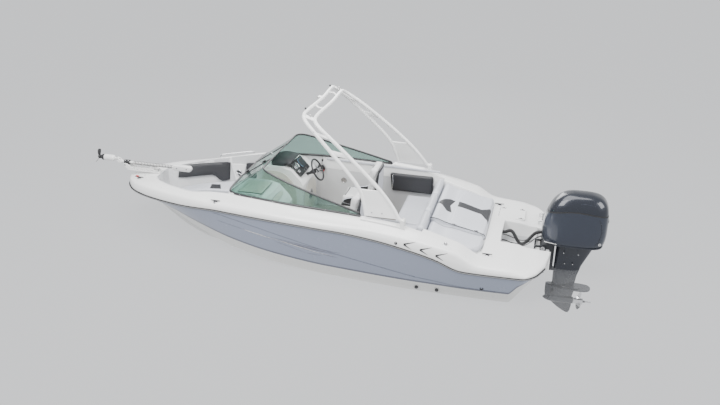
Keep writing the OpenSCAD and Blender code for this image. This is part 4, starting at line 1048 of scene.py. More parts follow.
# ------------------------------------------------------------------ upholstery
@dataclass
class Cushion:
    """A stuffed pad: a rounded plan or section swelled like foam under vinyl, with its seams pressed in."""
    name: str
    body: str
    low: Point
    high: Point
    finishes: list[Finish] = field(default_factory=lambda: [VINYL_LIGHT, VINYL_DARK, PIPING])
    outline: Optional[list[tuple[float, float]]] = None
    swell: float = 0.012
    voxel: float = 0.012
    seams: list[tuple[Point, Point]] = field(default_factory=list)
    darks: list[list[tuple[float, float]]] = field(default_factory=list)
    along: str = "z"
    fill: float = 0.7
    shape: Optional[Callable[[Vector], Vector]] = None
    replaces: tuple[str, ...] = ()
    tilt: Optional[Matrix] = None

    def build(self) -> bpy.types.Object:
        """Makes the pad, inflates it, presses its seams and dresses it.

        Returns:
            The finished pad.
        """
        obj = self._core()
        self._inflate(obj)
        piece = Piece(self.name, self.body, self.finishes)
        piece.bm.from_mesh(obj.data)
        bpy.data.objects.remove(obj)
        bm = piece.bm
        bmesh.ops.smooth_vert(bm, verts=bm.verts, factor=0.5, use_axis_x=True, use_axis_y=True,
                              use_axis_z=True)
        self._limit(bm)
        self._inlay(bm)
        self._press(bm)
        if self.shape:
            for v in bm.verts:
                v.co = self.shape(v.co)
        if self.tilt:
            bmesh.ops.transform(bm, matrix=self.tilt, verts=bm.verts)
        done = piece.done("vinyl_light" if self.finishes[0] is not VINYL_DARK else "vinyl_dark",
                          self.replaces, sharp=60)
        return done

    def _plane(self, p: Vector) -> tuple[float, float]:
        """A point's two coordinates in the pad's plan."""
        return {"z": (p.x, p.y), "y": (p.x, p.z), "x": (p.y, p.z)}[self.along]

    def _lift(self, u: float, v: float, w: float) -> Vector:
        """A point from its plan coordinates and its height across the plan."""
        return {"z": Vector((u, v, w)), "y": Vector((u, w, v)), "x": Vector((w, u, v))}[self.along]

    def _core(self) -> bpy.types.Object:
        """The pad's slightly undersized block: its plan extruded and its rims well rounded.

        Returns:
            The block as an object.
        """
        lo, hi = Vector(self.low), Vector(self.high)
        axis = "xyz".index(self.along)
        inset = self.swell * 0.55
        w0, w1 = lo[axis] + inset * 0.4, hi[axis] - inset
        if self.outline:
            pts = self.outline
        else:
            (u0, v0), (u1, v1) = self._plane(lo), self._plane(hi)
            pts = [(u0, v0), (u1, v0), (u1, v1), (u0, v1)]
        cu, cv = sum(p[0] for p in pts) / len(pts), sum(p[1] for p in pts) / len(pts)
        span = max(max(abs(p[0] - cu), abs(p[1] - cv)) for p in pts)
        shrink = 1 - inset / span
        bm = bmesh.new()
        base = bm.faces.new([bm.verts.new(self._lift(cu + (u - cu) * shrink, cv + (v - cv) * shrink, w0))
                             for u, v in pts])
        corners = list(base.verts)
        out = bmesh.ops.extrude_face_region(bm, geom=[base], use_keep_orig=True)["geom"]
        verts = [g for g in out if isinstance(g, bmesh.types.BMVert)]
        bmesh.ops.translate(bm, vec=self._lift(0, 0, w1 - w0), verts=verts)
        bmesh.ops.recalc_face_normals(bm, faces=bm.faces)
        posts = [e for e in bm.edges if (e.verts[0] in corners) != (e.verts[1] in corners)]
        thick = w1 - w0
        bmesh.ops.bevel(bm, geom=posts, offset=min(0.035, span * 0.25), affect="EDGES", segments=3,
                        profile=0.5, material=-1, clamp_overlap=True)
        rims = [e for e in bm.edges if len(e.link_faces) == 2 and e.calc_face_angle(0) > 1.2]
        bmesh.ops.bevel(bm, geom=rims, offset=min(0.022, thick * 0.3), affect="EDGES", segments=2,
                        profile=0.5, material=-1, clamp_overlap=True)
        mesh = bpy.data.meshes.new(self.name + "_core")
        bm.to_mesh(mesh)
        bm.free()
        obj = bpy.data.objects.new(self.name + "_core", mesh)
        bpy.context.scene.collection.objects.link(obj)
        remesh = obj.modifiers.new("voxels", "REMESH")
        remesh.mode, remesh.voxel_size = "VOXEL", self.voxel
        self._apply(obj)
        return obj

    @staticmethod
    def _apply(obj: bpy.types.Object) -> None:
        """Bakes an object's modifiers into its mesh.

        Args:
            obj: the object whose modifiers are baked.
        """
        graph = bpy.context.evaluated_depsgraph_get()
        mesh = bpy.data.meshes.new_from_object(obj.evaluated_get(graph))
        obj.modifiers.clear()
        old = obj.data
        obj.data = mesh
        bpy.data.meshes.remove(old)

    def _inflate(self, obj: bpy.types.Object) -> None:
        """Args:
            obj: the block, remeshed.
        """
        scene = bpy.context.scene
        before = [v.co.copy() for v in obj.data.vertices]
        cloth = obj.modifiers.new("cloth", "CLOTH")
        cloth.settings.use_pressure = True
        cloth.settings.uniform_pressure_force = 4.0
        cloth.settings.effector_weights.gravity = 0.0
        cloth.settings.quality = 3
        cloth.point_cache.frame_start, cloth.point_cache.frame_end = 1, 12
        for number in range(1, 13):
            scene.frame_set(number)
        self._apply(obj)
        scene.frame_set(1)
        for v, old in zip(obj.data.vertices, before):
            move = v.co - old
            if move.length > self.swell:
                v.co = old + move * (self.swell / move.length)

    def _limit(self, bm: bmesh.types.BMesh) -> None:
        """Keeps the pad in the space that its frame holds, flat where it rests.

        Args:
            bm: the pad's mesh.
        """
        axis = "xyz".index(self.along)
        lo, hi = Vector(self.low), Vector(self.high)
        proud = 0.008
        for v in bm.verts:
            for k in range(3):
                if k == axis:
                    v.co[k] = max(v.co[k], lo[k] + 0.0008)
                    v.co[k] = min(v.co[k], hi[k] + proud)
                else:
                    v.co[k] = min(max(v.co[k], lo[k] + 0.0008), hi[k] - 0.0008)

    def _inlay(self, bm: bmesh.types.BMesh) -> None:
        """Cuts the dark panels' outlines into the top and dresses what lies inside them.

        Args:
            bm: the pad's mesh.
        """
        axis = "xyz".index(self.along)
        for outline in self.darks:
            centre = Vector((sum(p[0] for p in outline), sum(p[1] for p in outline))) / len(outline)
            reach = max((Vector(p) - centre).length for p in outline) + 0.02
            for (u0, v0), (u1, v1) in zip(outline, outline[1:] + outline[:1]):
                near = [f for f in bm.faces if (Vector(self._plane(f.calc_center_median()))
                                                - centre).length < reach]
                geom = list({g for f in near for g in (*f.verts, *f.edges, f)})
                side = Vector((-(v1 - v0), u1 - u0)).normalized()
                bmesh.ops.bisect_plane(bm, geom=geom, plane_co=self._lift(u0, v0, 0),
                                       plane_no=self._lift(side.x, side.y, 0), dist=0.00002)
            top = self.low[axis] + (self.high[axis] - self.low[axis]) * 0.35
            for f in bm.faces:
                c = f.calc_center_median()
                if c[axis] > top and f.normal[axis] > -0.1 and self._inside(self._plane(c), outline):
                    f.material_index = 1

    @staticmethod
    def _inside(p: tuple[float, float], outline: Sequence[tuple[float, float]]) -> bool:
        """Whether a plan point lies in an outline.

        Args:
            p: the plan point.
            outline: the closed outline.

        Returns:
            True inside it.
        """
        odd = False
        for (u0, v0), (u1, v1) in zip(outline, list(outline[1:]) + [outline[0]]):
            if (v0 > p[1]) != (v1 > p[1]) and p[0] < (u1 - u0) * (p[1] - v0) / (v1 - v0) + u0:
                odd = not odd
        return odd

    def _press(self, bm: bmesh.types.BMesh) -> None:
        """Presses the sewn lines into the top face.

        Args:
            bm: the pad's mesh.
        """
        axis = "xyz".index(self.along)
        lines = [(Vector(a), Vector(b)) for a, b in self.seams]
        for outline in self.darks:
            lines += [(Vector(a), Vector(b)) for a, b in zip(outline, outline[1:] + outline[:1])]
        if not lines:
            return
        middle = (self.low[axis] + self.high[axis]) / 2
        for v in bm.verts:
            if v.co[axis] < middle:
                continue
            p = Vector(self._plane(v.co))
            near = 1.0
            for a, b in lines:
                a, b = a.to_2d(), b.to_2d()
                t = min(1.0, max(0.0, (p - a).dot(b - a) / max((b - a).length_squared, 1e-9)))
                near = min(near, (p - a.lerp(b, t)).length)
            v.co[axis] -= 0.006 * math.exp(-(near / 0.009) ** 2)


def gap_shade_bead(piece: Piece, path: Sequence[Vector], radius: float = 0.0045, finish: int = 0) -> None:
    """Adds a thin round bead along a path to a piece; here it is a line of painted shade in a gap."""
    piece.tube(chaikin(path, 2), radius, 8, finish)


@dataclass
class SternPads:
    """The sun pad, the walk-through cushion, the aft bench and its backrests."""

    def build(self) -> None:
        """Builds the pads with their dark inlays and seams."""
        lo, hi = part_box("sunpad")
        slope = self._slope(((-2.436, 0.555), (-2.400, 0.590), (-1.900, 0.690), (-1.700, 0.760),
                             (-1.646, 0.735)), hi.z)
        arrow = [(-1.535, -0.13), (-1.70, -0.345), (-1.775, -0.345), (-1.725, -0.13), (-1.775, 0.085),
                 (-1.70, 0.085)]
        arrow = [(x - 0.13, y - 0.02) for x, y in arrow]
        stripe = [(-1.955, -0.20), (-1.955, -0.385), (-2.30, -0.375), (-2.425, -0.50), (-2.425, -0.03),
                  (-2.30, -0.215)]
        stripe = [(x, y + 0.02) for x, y in stripe]
        Cushion("sun_pad", "boat", tuple(lo), tuple(hi), voxel=0.0135, swell=0.014, darks=[arrow, stripe],
                shape=slope, seams=[((-1.935, -0.64, 0), (-1.935, 0.40, 0)),
                                    ((-1.935, -0.64, 0), (-2.42, -0.64, 0))], replaces=("sunpad",),
                fill=0.8).build()
        lo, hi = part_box("walkway_cushion")
        low_slope = self._slope(((-2.436, 0.530), (-2.400, 0.560), (-1.900, 0.640), (-1.700, 0.700),
                                 (-1.646, 0.690)), hi.z)
        Cushion("walkway_pad", "boat", tuple(lo), tuple(hi), voxel=0.012, swell=0.012, shape=low_slope,
                fill=0.75, outline=[(lo.x + 0.02, lo.y + 0.004), (hi.x, lo.y + 0.004), (hi.x, hi.y),
                                    (lo.x + 0.12, hi.y), (lo.x + 0.02, hi.y - 0.16)],
                replaces=("walkway_cushion",)).build()
        lo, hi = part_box("aft_bench_cushion")
        Cushion("aft_bench_pad", "boat", tuple(lo), tuple(hi), voxel=0.013, swell=0.014,
                replaces=("aft_bench_cushion",), seams=[((lo.x + 0.01, y, 0), (hi.x - 0.01, y, 0))
                                                        for y in (-0.31, 0.31)], fill=0.8).build()
        self._backrests()
        self._gap_shade()

    @staticmethod
    def _slope(profile: Sequence[tuple[float, float]], top: float) -> Callable[[Vector], Vector]:
        """A bend that lowers a level pad's top onto a sloping profile.

        Args:
            profile: points as (x, height) from aft to forward.
            top: the level pad's top.

        Returns:
            A function that moves one point.
        """
        base = 0.47

        def bend(p: Vector) -> Vector:
            """Lowers a point onto the profile.

            Args:
                p: a point of the level pad.

            Returns:
                Its place on the sloping pad.
            """
            pts = list(profile)
            z = pts[0][1] if p.x <= pts[0][0] else pts[-1][1]
            for (x0, z0), (x1, z1) in zip(pts, pts[1:]):
                if x0 <= p.x <= x1:
                    t = (p.x - x0) / (x1 - x0)
                    z = z0 + (z1 - z0) * t * t * (3 - 2 * t)
            return Vector((p.x, p.y, base + (p.z - base) * (z - base) / (top - base)))
        return bend

    def _backrests(self) -> None:
        """Three reclined backrests with dark centre panels."""
        lo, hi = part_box("aft_backrest")
        for k, (y0, y1) in enumerate(((-0.93, -0.33), (-0.31, 0.31), (0.33, 0.93))):
            inset = 0.14
            mid = (y0 + y1) / 2
            panel = [(mid - 0.15, 0.48), (mid + 0.15, 0.48), (mid + 0.13, 0.70), (mid - 0.13, 0.70)]

            def lean(p: Vector, top: float = hi.z) -> Vector:
                """Reclines a point of a backrest.

                Args:
                    p: a point of the upright pad.
                    top: the pad's top.

                Returns:
                    Its place on the reclined pad.
                """
                t = max(0.0, min(1.0, (p.z - 0.40) / (top - 0.40)))
                front = 0.145 - 0.055 * t
                return Vector((lo.x + (p.x - lo.x) * front / 0.145, p.y, p.z))
            Cushion(f"aft_backrest_pad_{k + 1}", "boat", (lo.x, y0, lo.z), (lo.x + 0.145, y1, hi.z),
                    along="x", voxel=0.0095, swell=0.016, darks=[panel] if k != 1 else [], shape=lean,
                    fill=0.85, seams=[((y0 + inset, 0.42, 0), (y0 + inset, 0.78, 0)),
                                      ((y1 - inset, 0.42, 0), (y1 - inset, 0.78, 0))] if k == 1 else [],
                    replaces=("aft_backrest",) if k == 0 else ()).build()

    def _gap_shade(self) -> None:
        """A dark bead of painted shade in the gap between the sun pad and the walk-through, and two hinges.
        """
        piece = Piece("pad_gap_shade_and_hinges", finishes=[VINYL_DARK, STAINLESS])
        # Painted shade: this dark vinyl bead draws the shadow line where the lower walk-through meets the
        # sun pad's edge.
        gap_shade_bead(piece, [Vector((-1.655, 0.416, 0.735)), Vector((-1.75, 0.416, 0.735)),
                      Vector((-1.90, 0.416, 0.676)), Vector((-2.40, 0.416, 0.58)),
                      Vector((-2.43, 0.416, 0.545))], 0.006)
        for x, z in ((-1.98, 0.668), (-2.30, 0.606)):
            piece.block((x - 0.03, 0.404, z), (x + 0.03, 0.428, z + 0.008), 0.002, 1)
        piece.done("trim")


@dataclass
class BucketSeat:
    """A swivel bucket seat: shell, bolstered cushion and back with dark inlays."""
    body: str
    shell_node: str
    cushion_node: str
    centre: tuple[float, float]
    headrest: bool = False
    width: float = 0.50

    def build(self) -> None:
        """Builds the shell and its stuffed parts."""
        self._shell()
        self._pads()

    def _shell(self) -> None:
        """The moulded shell: a back rounded at the top and two wings."""
        piece = Piece(f"{self.shell_node}_shell", self.body, [BLACK_PLASTIC, VINYL_LIGHT, STAINLESS])
        x, y = self.centre
        w = self.width / 2
        base = 0.45
        for side in (-1, 1):
            wing = chaikin([Vector((x + a, 0, base + b))
                            for a, b in ((-0.262, 0.0), (0.232, 0.0), (0.212, 0.085), (0.10, 0.125),
                                         (-0.06, 0.150), (-0.262, 0.235))], 2, True)
            piece.plate([Vector((p.x, y + side * w - (0.040 if side > 0 else 0), p.z)) for p in wing],
                        Vector((0, 0.040, 0)), 0.012, 1, 3)
        back = [(-0.300, -0.030, w), (-0.305, 0.06, w), (-0.311, 0.20, w * 0.99), (-0.318, 0.40, w * 0.96),
                (-0.327, 0.52, w * 0.88), (-0.333, 0.58, w * 0.70)]
        rows = []
        for dx, dz, half in back:
            thick = 0.052 if dz < 0.5 else 0.030
            ring = [Vector((x + dx, y - half, base + dz)), Vector((x + dx, y + half, base + dz)),
                    Vector((x + dx + thick, y + half, base + dz)),
                    Vector((x + dx + thick, y - half, base + dz))]
            rows.append(chaikin(ring, 2, True))
        piece.skin(rows, closed=True, caps=True)
        rows = []
        for dx, dz, half in back[1:-1]:
            ring = [Vector((x + dx - 0.012, y - half * 0.74, base + dz)),
                    Vector((x + dx - 0.012, y + half * 0.74, base + dz)),
                    Vector((x + dx + 0.01, y + half * 0.74, base + dz)),
                    Vector((x + dx + 0.01, y - half * 0.74, base + dz))]
            rows.append(chaikin(ring, 2, True))
        piece.skin(rows, closed=True, caps=True, finish=lambda r, k: 1)
        piece.block((x - 0.24, y - w + 0.01, base - 0.030), (x + 0.245, y + w - 0.01, base), 0.008, 0, 3)
        piece.lathe([(0.0, 0.088), (0.026, 0.088), (0.032, 0.070)], (x, y, base - 0.060), (0, 0, 1), 28, 2)
        piece.lathe([(-0.03, 0.008), (0.0, 0.008), (0.09, 0.007), (0.10, 0.012), (0.13, 0.012)],
                    (x + 0.05, y + (w - 0.02), base - 0.020), (0, 1, 0.1), 12, 0)
        piece.done("black_plastic", [self.shell_node], sharp=50)

    def _pads(self) -> None:
        """Seat pad with a raised front bolster, and a back pad with side rolls."""
        x, y = self.centre
        w = self.width / 2 - 0.042
        base = 0.45

        def bolster(p: Vector) -> Vector:
            """Shapes a point of the seat cushion.

            Args:
                p: a point of the flat cushion.

            Returns:
                Its place with the front roll and the raised sides.
            """
            t = max(0.0, min(1.0, (p.x - (x + 0.06)) / 0.18))
            edge = abs(p.y - y) / w
            return p + Vector((0, 0, (0.022 * t + 0.016 * edge ** 3) * (p.z - base) / 0.118))
        stripe = [(x + 0.19, y - 0.165), (x + 0.215, y - 0.165), (x + 0.215, y + 0.165),
                  (x + 0.19, y + 0.165)]
        Cushion(f"{self.cushion_node}_seat", self.body, (x - 0.13, y - w, base + 0.001),
                (x + 0.25, y + w, base + 0.104), voxel=0.009, finishes=[VINYL_WHITE, VINYL_DARK, PIPING],
                swell=0.014, shape=bolster, darks=[stripe],
                seams=[((x - 0.12, y - 0.13, 0), (x + 0.17, y - 0.13, 0)),
                       ((x - 0.12, y + 0.13, 0), (x + 0.17, y + 0.13, 0)),
                       ((x + 0.17, y - 0.2, 0), (x + 0.17, y + 0.2, 0))],
                replaces=(self.cushion_node,)).build()

        def lean(p: Vector) -> Vector:
            """Reclines a point of the back cushion.

            Args:
                p: a point of the upright back.

            Returns:
                Its place on the reclined back, with its side rolls.
            """
            t = (p.z - base) / 0.616
            roll = 0.022 * max(0.0, abs(p.y - y) / w
                               - 0.55) / 0.45 * math.sin(math.pi * min(1, max(0, t * 0.9 + 0.05)))
            taper = 1 - 0.16 * max(0.0, (t - 0.78) / 0.22) ** 2
            return Vector((p.x - 0.052 * t + roll * (1 if p.x > x - 0.19 else 0), y + (p.y - y) * taper,
                           p.z))
        panel = [(y - 0.12, 0.86), (y + 0.12, 0.86), (y + 0.10, 1.02), (y - 0.10, 1.02)]
        Cushion(f"{self.cushion_node}_back", self.body, (x - 0.258, y - w, base + 0.001),
                (x - 0.145, y + w, base + 0.612), along="x", voxel=0.0095,
                finishes=[VINYL_WHITE, VINYL_DARK, PIPING], swell=0.016, shape=lean,
                darks=[panel] if self.headrest else [],
                seams=[((y - 0.125, 0.50, 0), (y - 0.125, 0.98, 0)),
                       ((y + 0.125, 0.50, 0), (y + 0.125, 0.98, 0)),
                       ((y - 0.19, 0.80, 0), (y + 0.19, 0.80, 0))], fill=0.85).build()




def speaker(piece: Piece, centre: Point, axis: Point, radius: float, ring: int, cone: int,
            spokes: int) -> None:
    """A round loudspeaker: a trim ring, a recessed cone and a spoked grille.

    Args:
        piece: the piece it is added to.
        centre: the middle of its back face.
        axis: the direction that it faces.
        radius: its outer radius.
        ring: the finish number of the trim ring.
        cone: the finish number of the cone.
        spokes: the finish number of the grille.
    """
    r = radius
    piece.lathe([(0.0, r), (0.010, r), (0.014, r * 0.94), (0.012, r * 0.84), (0.004, r * 0.82)], centre,
                axis, 32, ring)
    piece.lathe([(0.004, r * 0.82), (0.007, r * 0.5), (0.005, r * 0.22)], centre, axis, 28, cone)
    n = Vector(axis).normalized()
    side = n.cross(Vector((0, 0, 1)) if abs(n.z) < 0.9 else Vector((1, 0, 0))).normalized()
    up = side.cross(n)
    hub = Vector(centre) + n * 0.012
    for k in range(6):
        a = math.pi * k / 3 + 0.3
        d = side * math.cos(a) + up * math.sin(a)
        piece.tube([hub + d * r * 0.16, hub + d * r * 0.52, hub + d * r * 0.88],
                   [r * 0.05, r * 0.04, r * 0.07], 6, spokes)
    piece.lathe([(0.004, r * 0.22), (0.015, r * 0.2), (0.018, r * 0.1)], centre, axis, 20, spokes)


# ------------------------------------------------------------------ cockpit
@dataclass
class Cockpit:
    """The woven sole, the consoles' panels, the dash with its instruments, and the throttle."""
    foot_half: float = 0.26
    console_aft: float = 0.43

    def build(self) -> None:
        """Builds everything fixed inside the well."""
        self._sole()
        self._consoles()
        self._dash()
        self._throttle()
        self._rim()

    def _sole(self) -> None:
        """Woven matting over the cockpit sole and the walkway to the bow."""
        piece = Piece("cockpit_matting", finishes=[WOVEN])
        z = LINES.sole + 0.0006
        right = [(-1.052, -0.985), (0.42, -0.978), (0.42, -0.272), (1.16, -0.248), (1.88, -0.205),
                 (2.105, -0.12)]
        outline = right + [(x, -y) for x, y in reversed(right)]
        piece.plate([Vector((x, y, z)) for x, y in outline], Vector((0, 0, 0.005)), 0.002, 0, 1, True)
        piece.done("liner")

    def _consoles(self) -> None:
        """Panels, speakers, a glove box and cup holders on the two consoles."""
        piece = Piece("console_panels", finishes=[CREAM, CONSOLE_GREY, STAINLESS, BLACK_PLASTIC, BRUSHED])
        for side in (-1, 1):
            y = side * self.foot_half
            shape = chaikin([Vector((x, y, z)) for x, z in ((0.60, 0.17), (1.115, 0.17), (1.115, 0.885),
                                                            (0.80, 0.90), (0.66, 0.82), (0.53, 0.66),
                                                            (0.53, 0.17))], 2, True)
            piece.plate(shape, Vector((0, -side * 0.006, 0)), 0.003, 0, 2)
            aft = chaikin([Vector((self.console_aft, y2, z))
                           for y2, z in ((side * 0.30, 0.14), (side * 0.93, 0.14), (side * 0.93, 0.66),
                                         (side * 0.30, 0.66))], 2, True)
            if side < 0:
                piece.plate(aft, Vector((-0.006, 0, 0)), 0.003, 1, 2)
        speaker(piece, (self.console_aft - 0.006, -0.63, 0.42), (-1, 0, 0), 0.083, 1, 3, 4)
        speaker(piece, (self.console_aft, 0.63, 0.30), (-1, 0, 0), 0.083, 1, 3, 4)
        for x, y in ((-0.02, 1.0), (-0.02, -1.0)):
            side = 1 if y > 0 else -1
            piece.lathe([(0.0, 0.045), (0.004, 0.047), (0.006, 0.04), (0.002, 0.036)],
                        (x, y - side * 0.004, 0.56), (0, -side, 0), 28, 2)
        glove = chaikin([Vector((0.545, y, z))
                         for y, z in ((0.36, 0.80), (0.88, 0.80), (0.88, 0.88), (0.36, 0.88))], 2, True)
        tilt = Matrix.Translation(Vector((0.545, 0, 0.84))) @ Matrix.Rotation(math.radians(43), 4,
                "Y") @ Matrix.Translation(-Vector((0.545, 0, 0.84)))
        faces = piece.plate(glove, Vector((-0.010, 0, 0)), 0.003, 3, 2)
        bmesh.ops.transform(piece.bm, matrix=tilt, verts=list({v for f in faces for v in f.verts}))
        piece.block((0.70, 0.34, 0.951), (1.06, 0.80, 0.964), 0.006, 3, 3)
        piece.done("console", sharp=45)

    def _dash(self) -> None:
        """The hood over the helm with its screen, dials and switches."""
        hood = Piece("dash_hood", finishes=[SOFT_DASH])
        profile = [(0.768, 0.956), (0.985, 0.956), (0.982, 1.010), (0.955, 1.042), (0.880, 1.066),
                   (0.800, 1.076), (0.700, 1.066), (0.638, 1.044), (0.628, 1.030), (0.640, 1.018),
                   (0.690, 1.020), (0.702, 0.985)]
        rows = []
        for k in range(15):
            t = k / 14
            y = -0.788 + t * 0.466
            edge = (1 - abs(2 * t - 1) ** 5)
            cx, cz = 0.84, 0.957
            rows.append([Vector((cx + (x - cx) * (0.80 + 0.20 * edge), y,
                                 cz + (z - cz) * (0.45 + 0.55 * edge))) for x, z in profile])
        hood.skin([chaikin(r, 1, True) for r in rows], closed=True, caps=True)
        hood.done("dash", ["dash_panel"], sharp=55)
        fascia = Piece("dash_fascia", finishes=[BLACK_PLASTIC, SCREEN, SCREEN_DARK, STAINLESS, BRUSHED,
                                                CONSOLE_GREY, WHITE_PLASTIC])
        tilt = math.radians(-47)
        place = Matrix.Translation(Vector((0.560, -0.56, 0.895))) @ Matrix.Rotation(tilt, 4, "Y")

        def slab(y0: float, y1: float, u0: float, u1: float, w0: float, w1: float, bevel: float,
                 finish: int) -> None:
            """A block on the sloping fascia: across, up the slope and out of it."""
            fascia.block((u0, y0, w0), (u1, y1, w1), bevel, finish, 2, place)
        slab(-0.215, 0.225, -0.115, 0.130, -0.012, 0.012, 0.008, 0)
        slab(-0.165, 0.030, -0.040, 0.118, 0.004, 0.026, 0.006, 0)
        slab(-0.150, 0.015, -0.026, 0.104, 0.0255, 0.0275, 0.0008, 1)
        slab(-0.150, -0.070, -0.026, 0.030, 0.027, 0.0282, 0.0004, 2)
        for k, (y, u, r) in enumerate(((0.095, 0.055, 0.046), (0.178, 0.045, 0.032),
                                       (0.178, -0.035, 0.028))):
            base = place @ Vector((u, y, 0.010))
            axis = (place.to_3x3() @ Vector((0, 0, 1)))
            fascia.lathe([(0.0, r), (0.008, r), (0.010, r * 0.92), (0.005, r * 0.88)], base, axis, 28, 3)
            fascia.lathe([(0.004, r * 0.88), (0.0045, 0.001)], base, axis, 24, 6 if k == 0 else 0)
            needle = (place.to_3x3() @ Vector((0.7, 0.7, 0))).normalized() * r * 0.6
            fascia.tube([base + axis * 0.007, base + axis * 0.007 + needle], [0.0018, 0.0008], 6,
                        0 if k == 0 else 6)
        for k in range(6):
            slab(-0.150 + 0.030 * k, -0.130 + 0.030 * k, -0.098, -0.066, 0.008, 0.018, 0.003,
                 4 if k % 3 == 2 else 0)
        column = Vector((0.300, -0.600, 0.850))
        axis = Vector((-math.sin(math.radians(62)), 0, math.cos(math.radians(62))))
        fascia.tube([column - axis * 0.24, column - axis * 0.13, column - axis * 0.09,
                     column - axis * 0.019], [0.023, 0.023, 0.036, 0.034], 24, 0)
        fascia.tube([column - axis * 0.07 + Vector((0, 0.02, 0)),
                     column - axis * 0.07 + Vector((0, 0.085, 0.006)),
                     column - axis * 0.06 + Vector((0, 0.105, 0.012))], [0.006, 0.006, 0.010], 10, 0)
        fascia.done("dash", sharp=45)

    def _throttle(self) -> None:
        """The side-mounted engine control with its lever and stop switch."""
        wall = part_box("throttle")[0].y
        piece = Piece("engine_control", finishes=[BLACK_PLASTIC, STAINLESS, RED, BRUSHED])
        shape = chaikin([Vector((x, wall + 0.001, z))
                         for x, z in ((0.285, 0.665), (0.415, 0.68), (0.415, 0.80), (0.285, 0.80))], 2,
                        True)
        piece.plate(shape, Vector((0, 0.020, 0)), 0.006, 3, 3)
        shape = chaikin([Vector((x, wall + 0.018, z))
                         for x, z in ((0.30, 0.685), (0.40, 0.69), (0.40, 0.79), (0.30, 0.79))], 2, True)
        piece.plate(shape, Vector((0, 0.022, 0)), 0.006, 0, 3)
        pivot = Vector((0.350, wall + 0.036, 0.740))
        piece.lathe([(0.0, 0.028), (0.016, 0.028), (0.022, 0.022)], pivot, (0, 1, 0), 28, 1)
        path = chaikin([pivot + Vector((0, 0.012, 0)), pivot + Vector((-0.006, 0.020, 0.05)),
                        pivot + Vector((-0.025, 0.020, 0.12)), pivot + Vector((-0.030, 0.020, 0.145))], 2)
        piece.tube(path, [0.010] * (len(path) - 1) + [0.008], 12, 1)
        piece.ball(pivot + Vector((-0.031, 0.019, 0.147)), 0.021, 0, (0.8, 1.0, 1.15))
        piece.lathe([(0.0, 0.011), (0.012, 0.011), (0.016, 0.008)], (0.305, wall + 0.038, 0.705), (0, 1, 0),
                    18, 2)
        piece.done("black_plastic", ["throttle"], sharp=45)

    def _rim(self) -> None:
        """A soft black bead round the cockpit's coaming, aft of the windshield."""
        piece = Piece("coaming_bead", finishes=[VINYL_LIGHT])
        for side in (-1, 1):
            path = []
            for x in spread(-1560, 260, 130):
                path.append(Vector((x * MM, side * (1.0 - 0.012), 0.868 + 0.03 * (x + 1560) / 1820)))
            piece.tube(chaikin(path, 1), 0.011, 8, 0, 1.6)
        piece.done("liner")


@dataclass
class SteeringWheel:
    """The wheel: a grip ring, three slotted spokes and a hub, square to its column."""
    centre: Point = (0.300, -0.600, 0.850)
    tilt: float = 62.0
    radius: float = 0.171
    grip: float = 0.014

    def build(self) -> None:
        """Builds the wheel in its own plane and turns it onto the column."""
        piece = Piece("steering_wheel_rim", "wheel", [BLACK_PLASTIC, BRUSHED, STAINLESS])
        bm = piece.bm
        ring = circle(Vector((self.radius, 0, 0)), self.grip, Vector((0, 1, 0)), 14)
        verts = [bm.verts.new(p) for p in ring]
        edges = [bm.edges.new((verts[k], verts[(k + 1) % 14])) for k in range(14)]
        bmesh.ops.spin(bm, geom=verts + edges, cent=(0, 0, 0), axis=(0, 0, 1), angle=math.tau, steps=56,
                       use_merge=True, use_duplicate=False)
        for f in bm.faces:
            f.smooth = True
        for k in range(3):
            a = math.radians(120 * k)
            before = set(bm.verts)
            for s in (-1, 1):
                piece.tube([Vector((0.030, s * 0.020, 0.0)), Vector((0.08, s * 0.012, -0.004)),
                            Vector((0.165, s * 0.020, 0.0))], [0.007, 0.006, 0.009], 10, 1, 0.45)
            piece.block((0.035, -0.012, -0.005), (0.075, 0.012, 0.004), 0.003, 1, 2)
            fresh = [v for v in bm.verts if v not in before]
            bmesh.ops.rotate(bm, cent=(0, 0, 0), matrix=Matrix.Rotation(a, 3, "Z"), verts=fresh)
        piece.lathe([(-0.016, 0.038), (-0.004, 0.042), (0.010, 0.040), (0.016, 0.030), (0.0168, 0.001)],
                    (0, 0, 0), (0, 0, 1), 32, 0)
        piece.lathe([(0.0150, 0.024), (0.0185, 0.022), (0.0190, 0.001)], (0, 0, 0), (0, 0, 1), 28, 2)
        turn = Matrix.Translation(Vector(self.centre)) @ Matrix.Rotation(math.radians(-self.tilt), 4, "Y")
        bmesh.ops.transform(bm, matrix=turn, verts=bm.verts)
        piece.done("black_plastic", ["steering_wheel"], sharp=50)


